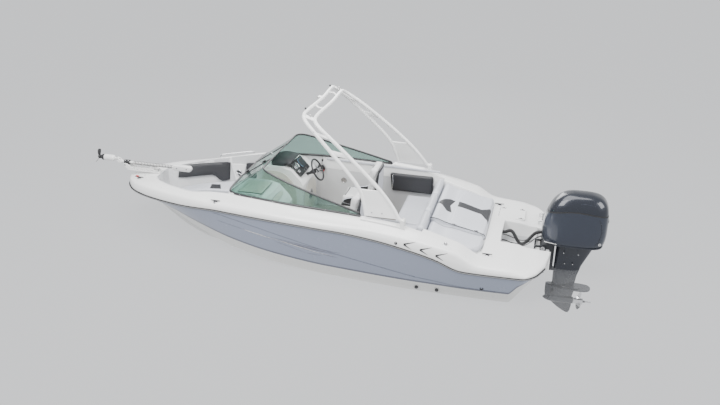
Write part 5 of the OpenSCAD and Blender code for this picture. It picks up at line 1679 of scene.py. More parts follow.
# ------------------------------------------------------------------ windshield
@dataclass
class Windshield:
    """The black framed wrap-round windshield and its opening centre window."""
    low: tuple[Point, ...] = ((-790, 1030, 913.5), (-300, 1022, 932), (300, 1000, 946.5), (800, 925, 949.5),
                              (1080, 868, 947.5), (1168, 815, 958), (1190, 720, 968), (1190, 300, 985))
    high: tuple[Point, ...] = ((-770, 1018, 948.5), (-300, 985, 1075), (200, 930, 1205), (520, 872, 1303),
                               (640, 815, 1329), (690, 740, 1330), (700, 640, 1325), (700, 300, 1325))
    sill_radius: float = 0.0185
    head_radius: float = 0.0150

    def build(self) -> None:
        """Builds the frame, its screws and the centre window."""
        self._frame()
        self._window()

    def _frame(self) -> None:
        """Rails, posts, the sill, screw heads and hinges."""
        piece = Piece("windshield_rails", finishes=[FRAME_BLACK, STAINLESS])
        low = [Vector(p) * MM for p in self.low]
        high = [Vector(p) * MM for p in self.high]
        for side in (1, -1):
            flip = Matrix.Diagonal(Vector((1, side, 1)))
            piece.tube([flip @ p for p in chaikin(low, 1)], self.sill_radius, 12, 0, 1.0)
            piece.tube([flip @ p for p in chaikin(high, 1)], self.head_radius, 12, 0)
            piece.tube([flip @ low[0], flip @ high[0]], self.head_radius, 10, 0)
            piece.tube([flip @ low[-1], flip @ low[-1].lerp(high[-1], 0.5), flip @ high[-1]], 0.0112, 12, 0)
            piece.ball(flip @ low[-1], 0.0145, 0)
            piece.ball(flip @ high[-1], 0.0114, 0)
            for k in range(9):
                t = (k + 0.5) / 9 * (len(low) - 2)
                i = int(t)
                p = low[i].lerp(low[i + 1], t - i)
                out = Vector((0, 1, 0.35)).normalized() if i < 5 else Vector((1, 0, 0.5)).normalized()
                piece.ball(flip @ (p + out * 0.0170), 0.0048, 1, (1, 1, 1))
        a, b = low[-1], Vector((low[-1].x, -low[-1].y, low[-1].z))
        piece.tube([a, b], 0.0142, 12, 0)
        post = (high[-1] - low[-1]).normalized()
        off = Vector((0.026 * post.z, 0, -0.026 * post.x))
        for d in (0.120, 0.440):
            for s in (-0.034, 0.028):
                p = low[-1] + post * (d + s) + off
                piece.tube([p, p + post * 0.006], 0.0062, 14, 0)
                piece.tube([p - off * 0.8 + post * 0.003, p + post * 0.003], 0.004, 8, 0)
            p = low[-1] + post * d + off
            piece.tube([p - post * 0.034, p + post * 0.034], 0.0039, 10, 1)
        for side in (-1, 1):
            for x, y, z in ((700, 500, 1336), (300, 905, 1240)):
                piece.ball(Vector((x, side * y, z)) * MM, 0.004, 1)
        piece.done("frame_black", ["windshield_frame"], sharp=50)

    def _window(self) -> None:
        """The opening pane in its own frame, with hinge leaves and a latch."""
        piece = Piece("centre_window_sash", "centre_window", [FRAME_BLACK, GLASS, STAINLESS])
        low, high = Vector(self.low[-1]) * MM, Vector(self.high[-1]) * MM
        up = (high - low).normalized()
        y = 0.300 - 0.011 - 0.006 - 0.009
        lo, hi = low + up * 0.029, high - up * 0.002
        corners = [Vector((lo.x, y, lo.z)), Vector((hi.x, y, hi.z)), Vector((hi.x, -y, hi.z)),
                   Vector((lo.x, -y, lo.z))]
        for k in range(4):
            piece.tube([corners[k], corners[k].lerp(corners[(k + 1) % 4], 0.5), corners[(k + 1) % 4]],
                       0.0089, 12, 0)
            piece.ball(corners[k], 0.0091, 0)
        out = Vector((up.z, 0, -up.x))
        sheet = [c - out * 0.0028 for c in (corners[0], corners[3], corners[2], corners[1])]
        piece.plate(sheet, out * 0.0056, 0.0, 1)
        off = out * 0.026
        for d in (0.120, 0.440):
            p = low + up * d + off
            piece.tube([p - up * 0.026, p + up * 0.026], 0.0068, 14, 0)
            inner = Vector((p.x, y, p.z)) - off
            leaf = [p - up * 0.024, p + up * 0.024, inner + up * 0.024, inner - up * 0.024]
            piece.plate(leaf, out * 0.004, 0.001, 0, 1)
        latch = low + up * 0.30
        piece.block((latch.x - 0.03, -y - 0.006, latch.z - 0.025),
                    (latch.x + 0.006, -y + 0.010, latch.z + 0.025), 0.005, 2)
        piece.done("glass", ["centre_window"], sharp=50)


# ------------------------------------------------------------------ bow and side upholstery
@dataclass
class BowSeating:
    """The bow lounge's seat pads, its dark backrests, the speaker panels and the cockpit's side pads."""
    seat: float = 0.3704

    def build(self) -> None:
        """Builds both sides of the bow lounge and the cockpit's side pads."""
        for side, label in ((1, "port"), (-1, "starboard")):
            self._seat(side, label)
            self._back(side, label)
            self._side_pad(side, label)
        self._panels()

    def _wall(self, x: float, z: float) -> float:
        """Half breadth of the bow well at a place, in metres.

        Args:
            x: place along the boat, in metres.
            z: height, in metres.

        Returns:
            That half breadth.
        """
        low = Fair(((1180, 860), (1520, 770), (1800, 660), (2080, 512), (2300, 355), (2480, 185),
                    (2550, 90)))
        high = Fair(((1180, 860), (1520, 770), (1800, 735), (2080, 600), (2320, 470), (2520, 330),
                     (2630, 180)))
        t = min(1.0, max(0.0, (z - 0.370) / 0.390))
        return (low.at(x / MM) * (1 - t) + high.at(x / MM) * t) * MM

    def _seat(self, side: int, label: str) -> None:
        """One side's seat pad, with a dark inlay near its aft end.

        Args:
            side: 1 for port and -1 for starboard.
            label: the side in words, for the piece's name.
        """
        outer = [(x, side * (self._wall(x, 0.37) - 0.004))
                 for x in (1.212, 1.35, 1.52, 1.66, 1.80, 1.94, 2.08, 2.20, 2.30, 2.38, 2.43)]
        inner = [(2.43, side * 0.010), (2.15, side * 0.010), (2.14, side * 0.152), (1.90, side * 0.234),
                 (1.212, side * 0.272)]
        dark = [(1.98, side * 0.27), (1.80, side * 0.30), (1.88, side * 0.47), (2.02, side * 0.44)]
        Cushion(f"bow_seat_{label}", "boat", (1.212, min(side * 0.008, side * 0.86), self.seat),
                (2.43, max(side * 0.008, side * 0.86), self.seat + 0.100), outline=outer + inner,
                voxel=0.012, swell=0.012, darks=[dark],
                seams=[((1.52, side * 0.26, 0), (1.52, side * 0.76, 0)),
                       ((2.10, side * 0.14, 0), (2.10, side * 0.50, 0))],
                replaces=("bow_cushions",) if side > 0 else ()).build()

    def _back(self, side: int, label: str) -> None:
        """Backrest pads along the well's wall, with a gap for the speaker panel.

        Args:
            side: 1 for port and -1 for starboard.
            label: the side in words, for the piece's name.
        """
        for number, (x0, x1) in enumerate(((1.216, 1.54), (1.80, 2.50))):
            piece = Piece(f"bow_backrest_{label}_{number + 1}", finishes=[VINYL_DARK, PIPING])
            rows, count = [], 14
            for k in range(count + 1):
                t = k / count
                x = x0 + (x1 - x0) * t
                end = 1 - abs(2 * t - 1) ** 6
                low = 0.10 * (1 - t) if number == 0 else 0.115 * min(1.0, max(0.0, (x - 1.92) / 0.10))
                foot = 0.474 + low + 0.012 * (1 - end)
                head = 0.772 - 0.012 * (1 - end)
                thick = 0.020 + 0.034 * end
                ring = []
                for u in range(6):
                    z = foot + (head - foot) * u / 5
                    ring.append(Vector((x, side * (self._wall(x, z) - 0.002), z)))
                for u in range(8):
                    s = 1 - u / 7
                    z = foot + (head - foot) * s
                    puff = thick * (0.72 + 0.28 * math.sin(math.pi * s) ** 0.5) - (0.008
                            * math.exp(-((s - 0.62) / 0.05) ** 2))
                    ring.append(Vector((x, side * (self._wall(x, z) - 0.002 - puff), z)))
                rows.append(ring)
            piece.skin(rows, closed=True, caps=True)
            piece.done("vinyl_dark", ("bow_backrests",) if number == 0 and side > 0 else (),
                                 sharp=70)

    def _panels(self) -> None:
        """White V-shaped panels with round speakers between the backrest pads."""
        piece = Piece("bow_speaker_panels", finishes=[GELCOAT, BLACK_PLASTIC, STAINLESS])
        for side in (1, -1):
            foot, head = 0.474, 0.742
            rows = []
            for k in range(7):
                z = foot + (head - foot) * k / 6
                half = 0.055 + 0.075 * k / 6
                rows.append([Vector((x, side * (self._wall(x, z) - d), z))
                             for x, d in ((1.66 - half, 0.003), (1.66 - half + 0.01, 0.028), (1.66, 0.031),
                                          (1.66 + half - 0.01, 0.028), (1.66 + half, 0.003))])
            piece.skin([chaikin(r, 1, True) for r in rows], closed=True, caps=True)
            y = side * (self._wall(1.66, 0.62) - 0.031)
            speaker(piece, (1.66, y, 0.60), Vector((0, -side, 0)), 0.058, 2, 1, 2)
        piece.done("liner", sharp=45)

    def _side_pad(self, side: int, label: str) -> None:
        """The dark pad along the cockpit's side with its bright grab handle.

        Args:
            side: 1 for port and -1 for starboard.
            label: the side in words, for the piece's name.
        """
        y0, y1 = sorted((side * 0.9395, side * 0.9985))
        Cushion(f"side_pad_{label}", "boat", (-1.48, y0, 0.481), (-0.76, y1, 0.799), along="y",
                finishes=[VINYL_DARK, VINYL_DARK, PIPING],
                outline=[(-1.478, 0.483), (-0.80, 0.483), (-0.762, 0.797), (-1.478, 0.797)], voxel=0.011,
                swell=0.010, shape=(lambda p: Vector((p.x, 2 * side * 0.969 - p.y, p.z))) if side > 0
                else None, replaces=("side_pads",) if side > 0 else ()).build()
        piece = Piece(f"grab_handle_{label}", finishes=[STAINLESS])
        path = [Vector((-0.82, side * 0.955, 0.53)), Vector((-0.825, side * 0.930, 0.56)),
                Vector((-0.835, side * 0.926, 0.65)), Vector((-0.825, side * 0.930, 0.74)),
                Vector((-0.82, side * 0.955, 0.77))]
        piece.tube(chaikin(path, 2), 0.007, 10)
        piece.done("stainless")


# ------------------------------------------------------------------ arch
@dataclass
class Arch:
    """The folding arch: two swept tubes, cross plates, solid foot panels and a light."""
    front: tuple[Point, ...] = ((-885, 1068, 948), (-850, 1035, 1080), (-780, 998, 1290), (-570, 965, 1520),
                                (-350, 925, 1735), (-110, 870, 1965), (40, 815, 2095), (92, 740, 2158),
                                (88, 600, 2180), (55, 300, 2192), (40, 0, 2195))
    rear: tuple[Point, ...] = ((-1330, 1066, 950), (-1230, 1026, 1100), (-1060, 988, 1290),
                               (-840, 955, 1490), (-590, 915, 1700), (-330, 865, 1905), (-130, 812, 2045),
                               (-60, 740, 2110), (-60, 600, 2135), (-85, 300, 2148), (-100, 0, 2152))
    tube: float = 0.026

    def build(self) -> None:
        """Builds the tubes, the panels and the fittings."""
        self._tubes()
        self._panels()

    def _path(self, points: Sequence[Point]) -> list[Vector]:
        """A leg's centre line carried across to the other side."""
        half = [Vector(p) * MM for p in points]
        return half + [Vector((p.x, -p.y, p.z)) for p in reversed(half[:-1])]

    def _tubes(self) -> None:
        """The two arch tubes, their cross plates, bars, knobs and the small light."""
        piece = Piece("arch_tubes", "arch", [ARCH_WHITE, BLACK_PLASTIC, LAMP, STAINLESS])
        front, rear = self._path(self.front), self._path(self.rear)
        for path in (front, rear):
            piece.tube(chaikin(path, 2), self.tube, 16, 0)
        count = len(front)
        for i in (4, 5, 7, count - 8, count - 6, count - 5):
            a, b = front[i], rear[i]
            run = (b - a).normalized()
            wide = (front[i + 1] - front[i - 1]).normalized()
            flat = run.cross(wide).normalized()
            half = 0.050 if i in (4, count - 5) else 0.030
            rows = []
            for t, w in ((0.0, 1.35), (0.12, 1.08), (0.5, 1.0), (0.88, 1.08), (1.0, 1.35)):
                p = a.lerp(b, t)
                rows.append([p + wide * half * w * u + flat * 0.011 * v
                             for u, v in ((-1, -0.6), (-0.8, -1), (0.8, -1), (1, -0.6), (1, 0.6), (0.8, 1),
                                          (-0.8, 1), (-1, 0.6))])
            piece.skin(rows, closed=True, caps=True)
        for i, j in ((9, 9), (count - 10, count - 10)):
            path = [front[i], front[i].lerp(rear[j], 0.5)
                    + Vector((0, 0.10 if i < count / 2 else -0.10, 0)), rear[j]]
            piece.tube(chaikin(path, 2), 0.013, 12, 0)
        mid = front[7].lerp(rear[7], 0.10)
        piece.block((mid.x - 0.035, -0.05, 2.196), (mid.x + 0.035, 0.05, 2.216), 0.006, 1, 3)
        for side in (1, -1):
            p = Vector((0.088, side * 0.60, 2.180))
            piece.lathe([(0.0, 0.014), (0.018, 0.014), (0.026, 0.008)], p + Vector((0.012, 0, 0.020)),
                        (0.3, 0, 1), 14, 1)
            for path, i, size in ((front, 3, 0.014), (front, 5, 0.012), (rear, 4, 0.012)):
                k = i if side > 0 else count - 1 - i
                piece.lathe([(0.018, size), (0.034, size), (0.040, size * 0.6)], path[k],
                            (0.6, side * 0.25, 0.75), 12, 3)
        for y in (0.72, -0.72):
            piece.block((-0.015, y - 0.018, 2.110), (0.015, y + 0.018, 2.165), 0.006, 1, 2)
        piece.done("arch_white", ["arch_frame"], sharp=50)

    def _panels(self) -> None:
        """The solid foot panels with a knob and bolts."""
        for side, label in ((1, "port"), (-1, "starboard")):
            piece = Piece(f"arch_foot_panel_{label}", "arch", [ARCH_WHITE, STAINLESS, BLACK_PLASTIC])
            front, rear = self._path(self.front), self._path(self.rear)
            rows = []
            for k in range(13):
                t = k / 12 * 2.0
                i, f = min(1, int(t)), t - min(1, int(t))
                a, b = front[i].lerp(front[i + 1], f), rear[i].lerp(rear[i + 1], f)
                outward = Vector((0, 1, 0.2 - 0.15 * k / 12)).normalized()
                ring = []
                for s, q in ((0.0, 0.35), (0.06, 0.7), (0.5, 0.82), (0.94, 0.7), (1.0, 0.35), (1.0, -0.35),
                             (0.94, -0.7), (0.5, -0.82), (0.06, -0.7), (0.0, -0.35)):
                    p = a.lerp(b, s) + outward * 0.0205 * q
                    ring.append(Vector((p.x, side * p.y, p.z)))
                rows.append(ring)
            piece.skin([chaikin(r, 1, True) for r in rows], closed=True, caps=True)
            pivot = Vector((-1.385, side * 1.068, 0.925))
            heel = Vector((-1.330, side * 1.066, 0.950))
            piece.tube([pivot, pivot.lerp(heel, 0.5), heel], [0.0235, 0.024, 0.0245], 18, 0)
            piece.lathe([(-0.030, 0.0255), (0.030, 0.0255)], pivot, (0, 1, 0), 28, 0)
            for x, z in ((-1.10, 1.01), (-0.96, 1.01)):
                piece.lathe([(0.0, 0.010), (0.004, 0.010), (0.006, 0.006)], (x, side * 1.083, z),
                            (0, side, 0.1), 14, 1)
            piece.done("arch_white", [f"{label}_arch_panel"], sharp=50)


# ------------------------------------------------------------------ outboard
@dataclass
class Outboard:
    """The outboard: cowl with its cap and trims, pan, leg, lower unit, propeller and rigging."""
    cowl_z: float = 0.455
    cowl_h: float = 0.730
    aft: float = -4.065
    fore: float = -3.180
    half: float = 0.250
    shaft_z: float = -0.500
    blades: int = 3
    hose_radii: tuple[float, float] = (0.0252, 0.0222)
    hose_pitch: float = 0.0035

    def build(self) -> None:
        """Builds the engine from the cowl down."""
        self._cowl()
        self._trims()
        self._leg()
        self._lower()
        self._propeller()
        self._rigging()

    def _oval(self, x0: float, x1: float, w: float, z: float, n: int = 56,
              power: float = 0.62) -> list[Vector]:
        """A rounded box section about the centreline.

        Args:
            x0: its aft end.
            x1: its forward end.
            w: its half width.
            z: its height.
            n: how many points it has.
            power: how square its corners are.

        Returns:
            The points in order.
        """
        ring = []
        for k in range(n):
            c, s = math.cos(math.tau * k / n), math.sin(math.tau * k / n)
            ring.append(Vector(((x0 + x1) / 2 + (x1 - x0) / 2 * math.copysign(abs(c) ** power, c),
                                w * math.copysign(abs(s) ** power, s), z)))
        return ring

    def _at(self, f: float) -> tuple[float, float, float]:
        """The cowl's aft end, forward end and half width at a share of its height.

        Args:
            f: share of the cowl's height, from its foot.

        Returns:
            The aft end, the forward end and the half width.
        """
        shares = ((0, 0.03, 0.05, 0.90), (0.06, 0.01, 0.02, 0.97), (0.25, 0.0, 0.0, 1.0),
                  (0.5, 0.03, 0.0, 0.98), (0.68, 0.08, 0.015, 0.93), (0.80, 0.14, 0.04, 0.85),
                  (0.90, 0.22, 0.09, 0.72), (0.965, 0.31, 0.17, 0.54), (1.0, 0.42, 0.28, 0.28))
        fore = Fair(tuple((s[0] * 1000, s[1]) for s in shares)).at(f * 1000)
        aft = Fair(tuple((s[0] * 1000, s[2]) for s in shares)).at(f * 1000)
        wide = Fair(tuple((s[0] * 1000, s[3]) for s in shares)).at(f * 1000)
        length = self.fore - self.aft
        return self.aft + aft * length, self.fore - fore * length, self.half * wide

    def _cowl(self) -> None:
        """The moulded cowl, darker above its slot, with a groove under the cap."""
        piece = Piece("engine_cowl", "engine", [ENGINE_PAINT, ENGINE_CAP, BLACK_PLASTIC])
        shares = [0, 0.02, 0.06, 0.14, 0.25, 0.38, 0.50, 0.58, 0.615, 0.618, 0.640, 0.643, 0.68, 0.74, 0.80,
                  0.85, 0.90, 0.935, 0.965, 0.985, 1.0]
        rows = []
        for f in shares:
            x0, x1, w = self._at(f)
            ring = self._oval(x0, x1, w, 0.0)
            for p in ring:
                t = (p.x - self.aft) / (self.fore - self.aft)
                arc = 0.060 * math.sin(math.pi * min(1, max(0, t))) - 0.075 * max(0.0, t - 0.55)
                p.z = self.cowl_z + f * self.cowl_h + arc * math.exp(-((f - 0.63) / 0.16) ** 2)
                if 0.616 < f < 0.642:
                    p.x += 0.009 * (0.5 - t) * 2
                    p.y *= 0.972
            rows.append(ring)
        low, high = shares.index(0.615), shares.index(0.643)

        def paint(r: int, _k: int) -> int:
            """Which finish a face of the cowl has."""
            return 2 if low <= r < high else (1 if r >= high else 0)
        piece.skin(rows, closed=True, caps=True, finish=paint)
        piece.done("engine_paint", ["cowl"], sharp=40)

    def _trims(self) -> None:
        """The rear vertical trim arc, side creases, a blank round badge, a pale strip and a rear grip."""
        piece = Piece("cowl_trims", "engine",
                      [ENGINE_CAP, WHITE_PLASTIC, STAINLESS, BLACK_PLASTIC, ENGINE_PAINT])
        for side in (1, -1):
            path = []
            for k in range(15):
                f = 0.05 + 0.57 * k / 14
                x0, x1, w = self._at(f)
                bow = 0.055 * math.sin(math.pi * (f - 0.05) / 0.57)
                x = x0 + 0.135 - bow
                c = (x - (x0 + x1) / 2) / ((x1 - x0) / 2)
                y = w * max(0.0, 1 - abs(c) ** (2 / 0.62)) ** 0.31
                path.append(Vector((x, side * (y - 0.0015), self.cowl_z + f * self.cowl_h)))
            piece.tube(path, [0.0025] + [0.0055] * (len(path) - 2) + [0.0025], 8, 0)
            piece.lathe([(0.0, 0.021), (0.004, 0.021), (0.006, 0.017)], (-3.975, side * 0.205, 0.525),
                        (-0.45, side, 0), 24, 2)
            piece.lathe([(0.005, 0.016), (0.0065, 0.001)], (-3.975, side * 0.205, 0.525), (-0.45, side, 0),
                        20, 0)
            strip = []
            for k in range(7):
                x = -3.235 - 0.17 * k / 6
                strip.append(Vector((x, side * (0.196 + 0.026 * (k / 6) ** 0.6),
                                     0.463 + 0.010 * (1 - k / 6))))
            piece.tube(strip, 0.0065, 8, 1, 0.5)
            crease = []
            for k in range(13):
                t = k / 12
                f = 0.70 + 0.17 * math.sin(math.pi * (0.12 + 0.60 * t))
                x0, x1, w = self._at(f)
                x = x1 - 0.10 - (x1 - x0 - 0.22) * t
                c = (x - (x0 + x1) / 2) / ((x1 - x0) / 2)
                y = w * max(0.0, 1 - abs(c) ** (2 / 0.62)) ** 0.31
                crease.append(Vector((x, side * (y - 0.004), self.cowl_z + f * self.cowl_h)))
            piece.tube(crease, [0.002] + [0.007] * (len(crease) - 2) + [0.002], 8, 4)
        piece.block((-4.068, -0.07, 0.80), (-4.050, 0.07, 0.84), 0.006, 3, 2)
        piece.done("engine_paint", sharp=50)

    def _foil(self, x0: float, x1: float, w: float, z: float, n: int = 32) -> list[Vector]:
        """A streamlined section, blunter forward."""
        return [Vector(((x0 + x1) / 2 + (x1 - x0) / 2 * math.cos(math.tau * k / n),
                        w * math.sin(math.tau * k / n) * (0.75 + 0.25 * math.cos(math.tau * k / n)), z))
                for k in range(n)]

    def _leg(self) -> None:
        """The pan under the cowl and the leg, dark and cast, with bolts."""
        piece = Piece("engine_leg", "engine", [ENGINE_CAP, CAST, STAINLESS, BLACK_PLASTIC])
        rows = [self._oval(-4.024, -3.242, 0.222, 0.429), self._oval(-4.030, -3.236, 0.228, 0.433),
                self._oval(-4.035, -3.228, 0.232, 0.450), self._oval(-4.033, -3.230, 0.229, 0.456)]
        piece.skin(rows, closed=True, caps=True)
        rows = [self._foil(-3.720, -3.408, 0.060, -0.262), self._foil(-3.740, -3.406, 0.068, -0.10),
                self._foil(-3.762, -3.406, 0.078, -0.02), self._foil(-3.780, -3.406, 0.088, 0.06),
                self._foil(-3.815, -3.406, 0.102, 0.14), self._foil(-3.860, -3.406, 0.120, 0.24),
                self._foil(-3.905, -3.408, 0.145, 0.34), self._foil(-3.940, -3.410, 0.170, 0.432)]
        for ring in rows:
            for p in ring:
                gap = 0.050
                reach = math.hypot(p.x + 3.345, p.y)
                if reach < gap:
                    p.x = -3.345 - math.sqrt(max(0.0, gap ** 2 - p.y ** 2))
        piece.skin(rows, closed=True, caps=True)
        piece.lathe([(0.0, 0.020), (0.45, 0.020)], (-3.345, 0, -0.04), (0, 0, 1), 24, 1)
        piece.block((-3.48, -0.034, -0.046), (-3.345, 0.034, -0.006), 0.008, 1)
        piece.lathe([(0.0, 0.036), (0.040, 0.036)], (-3.345, 0, -0.046), (0, 0, 1), 24, 1)
        piece.block((-3.56, -0.040, 0.402), (-3.345, 0.040, 0.431), 0.008, 1)
        piece.lathe([(0.0, 0.040), (0.030, 0.040)], (-3.345, 0, 0.402), (0, 0, 1), 24, 1)
        for side in (1, -1):
            for x, z in ((-3.52, 0.30), (-3.72, 0.30), (-3.55, 0.12), (-3.66, 0.12)):
                y = side * (0.135 if z > 0.2 else 0.096)
                piece.lathe([(-0.02, 0.008), (0.004, 0.008), (0.007, 0.005)], (x, y, z), (0, side, -0.2),
                            10, 2)
        piece.done("engine_paint", ["outboard_leg"], sharp=42)

    def _lower(self) -> None:
        """The anti-ventilation plate, the splash plate, the bullet housing and the skeg."""
        piece = Piece("engine_lower_unit", "engine", [ENGINE_CAP, STAINLESS, CAST])
        plan = [(-3.330, 0), (-3.370, 0.060), (-3.560, 0.116), (-3.880, 0.120), (-3.945, 0.060),
                (-3.953, 0)]
        plan += [(x, -y) for x, y in reversed(plan[1:-1])]
        piece.plate(chaikin([Vector((x, y, -0.290)) for x, y in plan], 2, True), Vector((0, 0, 0.014)),
                    0.003, 0, 2)
        small = [(x * 0.5 - 3.62 * 0.5, y * 0.72) for x, y in plan]
        piece.plate(chaikin([Vector((x - 0.02, y, -0.272)) for x, y in small], 2, True),
                    Vector((0, 0, 0.007)), 0.002, 0, 1)
        rows = [self._foil(-3.700, -3.332, 0.027, self.shaft_z), self._foil(-3.712, -3.326, 0.034, -0.44),
                self._foil(-3.720, -3.320, 0.041, -0.40), self._foil(-3.732, -3.319, 0.050, -0.33),
                self._foil(-3.740, -3.320, 0.057, -0.263)]
        piece.skin(rows, closed=True, caps=True)
        piece.lathe([(-3.735 + 3.300, 0.0495), (-0.40, 0.0535), (-0.34, 0.0575), (-0.18, 0.0578),
                     (-0.12, 0.0545), (-0.075, 0.046), (-0.035, 0.031), (-0.012, 0.016), (0.0, 0.004)],
                    (-3.300, 0, self.shaft_z), (1, 0, 0), 32, 0)
        fin = chaikin([Vector((x, -0.0048, z))
                       for x, z in ((-3.380, self.shaft_z), (-3.700, self.shaft_z), (-3.722, -0.560),
                                    (-3.698, -0.711), (-3.640, -0.711), (-3.470, -0.605))], 1, True)
        piece.plate(fin, Vector((0, 0.0096, 0)), 0.003, 0, 1)
        piece.lathe([(0.0, 0.0108), (0.26, 0.0108)], (-3.990, 0, self.shaft_z), (1, 0, 0), 16, 1)
        for side in (1, -1):
            for k in range(5):
                z = -0.345 - 0.018 * k
                piece.block((-3.455, side * 0.045 - 0.004, z - 0.004),
                            (-3.400, side * 0.045 + 0.004, z + 0.004), 0.002, 2, 1)
        piece.done("engine_paint", ["lower_unit"], sharp=42)

    def _propeller(self) -> None:
        """Three raked and twisted stainless blades on a hub with an exhaust ring."""
        piece = Piece("propeller_screw", "screw", [STAINLESS, CAST])
        base = Vector((-3.870, 0, self.shaft_z))
        piece.lathe([(0.0, 0.040), (0.0, 0.0455), (0.010, 0.0460), (0.09, 0.0455), (0.128, 0.0440),
                     (0.130, 0.036)], base, (1, 0, 0), 36, 0)
        piece.lathe([(-0.035, 0.013), (-0.008, 0.016), (0.0, 0.016)], base, (1, 0, 0), 18, 1)
        bm = piece.bm
        for blade in range(self.blades):
            before = set(bm.verts)
            rows = []
            for k in range(10):
                t = k / 9
                r = 0.038 + (0.1435 - 0.038) * t
                chord = 0.050 * (0.62 + 1.15 * t - 1.05 * t ** 3) * (1 if t < 0.99 else 0.72)
                pitch = math.radians(58 - 34 * t)
                sweep = 0.020 * t ** 2
                thick = 0.0042 * (1 - 0.72 * t)
                ring = []
                for a in range(14):
                    u, v = math.cos(math.tau * a / 14), math.sin(math.tau * a / 14)
                    along, across = chord * u, thick * v + 0.006 * (1 - u * u) * t
                    angle = (along * math.cos(pitch) - sweep) / r * 0.9
                    x = -3.805 + along * math.sin(pitch) * 0.9 + across * math.cos(pitch) - 0.018 * t
                    ring.append(Vector((x, r * math.sin(angle), self.shaft_z + r * math.cos(angle))))
                rows.append(ring)
            piece.skin(rows, closed=True, caps=True)
            fresh = [v for v in bm.verts if v not in before]
            bmesh.ops.rotate(bm, cent=(0, 0, self.shaft_z),
                             matrix=Matrix.Rotation(math.tau * blade / self.blades, 3, "X"), verts=fresh)
        piece.done("stainless", ["propeller"], sharp=50)

    def _rigging(self) -> None:
        """The corrugated rigging hose and the thin cables beside it, from the well to the engine."""
        route = [Vector(p) * MM for p in ((-2640.6, -60, 425), (-2668, -60, 425), (-2705, -62, 440),
                                          (-2745, -50, 470), (-2790, -30, 455), (-2830, -10, 395),
                                          (-2870, 5, 330), (-2920, 15, 300), (-2970, 10, 320),
                                          (-3020, 0, 380), (-3060, -10, 440), (-3100, -15, 485),
                                          (-3140, -18, 505), (-3186, -20, 510))]
        path = chaikin(route, 3)
        length = sum((b - a).length for a, b in zip(path, path[1:]))
        fine, count = [], round(length / self.hose_pitch)
        i, done = 0, 0.0
        for k in range(count + 1):
            target = length * k / count
            while i < len(path) - 2 and done + (path[i + 1] - path[i]).length < target:
                done += (path[i + 1] - path[i]).length
                i += 1
            span = (path[i + 1] - path[i]).length
            fine.append(path[i].lerp(path[i + 1], min(1.0, (target - done) / span)))
        radii = [self.hose_radii[k // 2 % 2] for k in range(count + 1)]
        hose = Piece("rigging_hose_bellows", finishes=[RUBBER])
        hose.tube(fine, radii, 14, 0)
        self._bend(hose, "hose", ("rigging_hose",))
        for number, (y, dip, radius) in enumerate(((-0.115, 0.00, 0.007), (0.055, -0.02, 0.006),
                                                   (0.085, 0.015, 0.005))):
            cable = Piece(f"control_cable_{number + 1}", finishes=[RUBBER])
            pts = [Vector((-2.643, y, 0.36)), Vector((-2.70, y, 0.36)),
                   Vector((-2.82, y * 0.9, 0.32 + dip)), Vector((-2.95, y * 0.8, 0.30 + dip)),
                   Vector((-3.05, y * 0.8, 0.38 + dip)), Vector((-3.12, y * 0.8, 0.45)),
                   Vector((-3.20, y * 0.8, 0.49))]
            cable.tube(chaikin(pts, 3), radius, 8, 0)
            self._bend(cable, "hose", ())

    @staticmethod
    def _bend(piece: Piece, slot: str, replaces: tuple[str, ...]) -> None:
        """Finishes a line that runs from the boat to the engine: its own object, dresses it, bakes it in
        place and gives it to no body.

        Args:
            piece: the line, with its mesh built.
            slot: its cord slot's name; not used.
            replaces: the CAD nodes that it stands for.
        """
        body, piece.body = piece.body, ""
        bm = piece.bm
        bmesh.ops.recalc_face_normals(bm, faces=bm.faces)
        mesh = bpy.data.meshes.new(piece.name)
        bm.to_mesh(mesh)
        bm.free()
        obj = bpy.data.objects.new(piece.name, mesh)
        bpy.context.scene.collection.objects.link(obj)
        for finish in piece.finishes:
            mesh.materials.append(finish.material())
        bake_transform(obj)
        if replaces:
            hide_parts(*replaces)
        log.info("piece %s: %d faces, bending", piece.name, len(mesh.polygons))


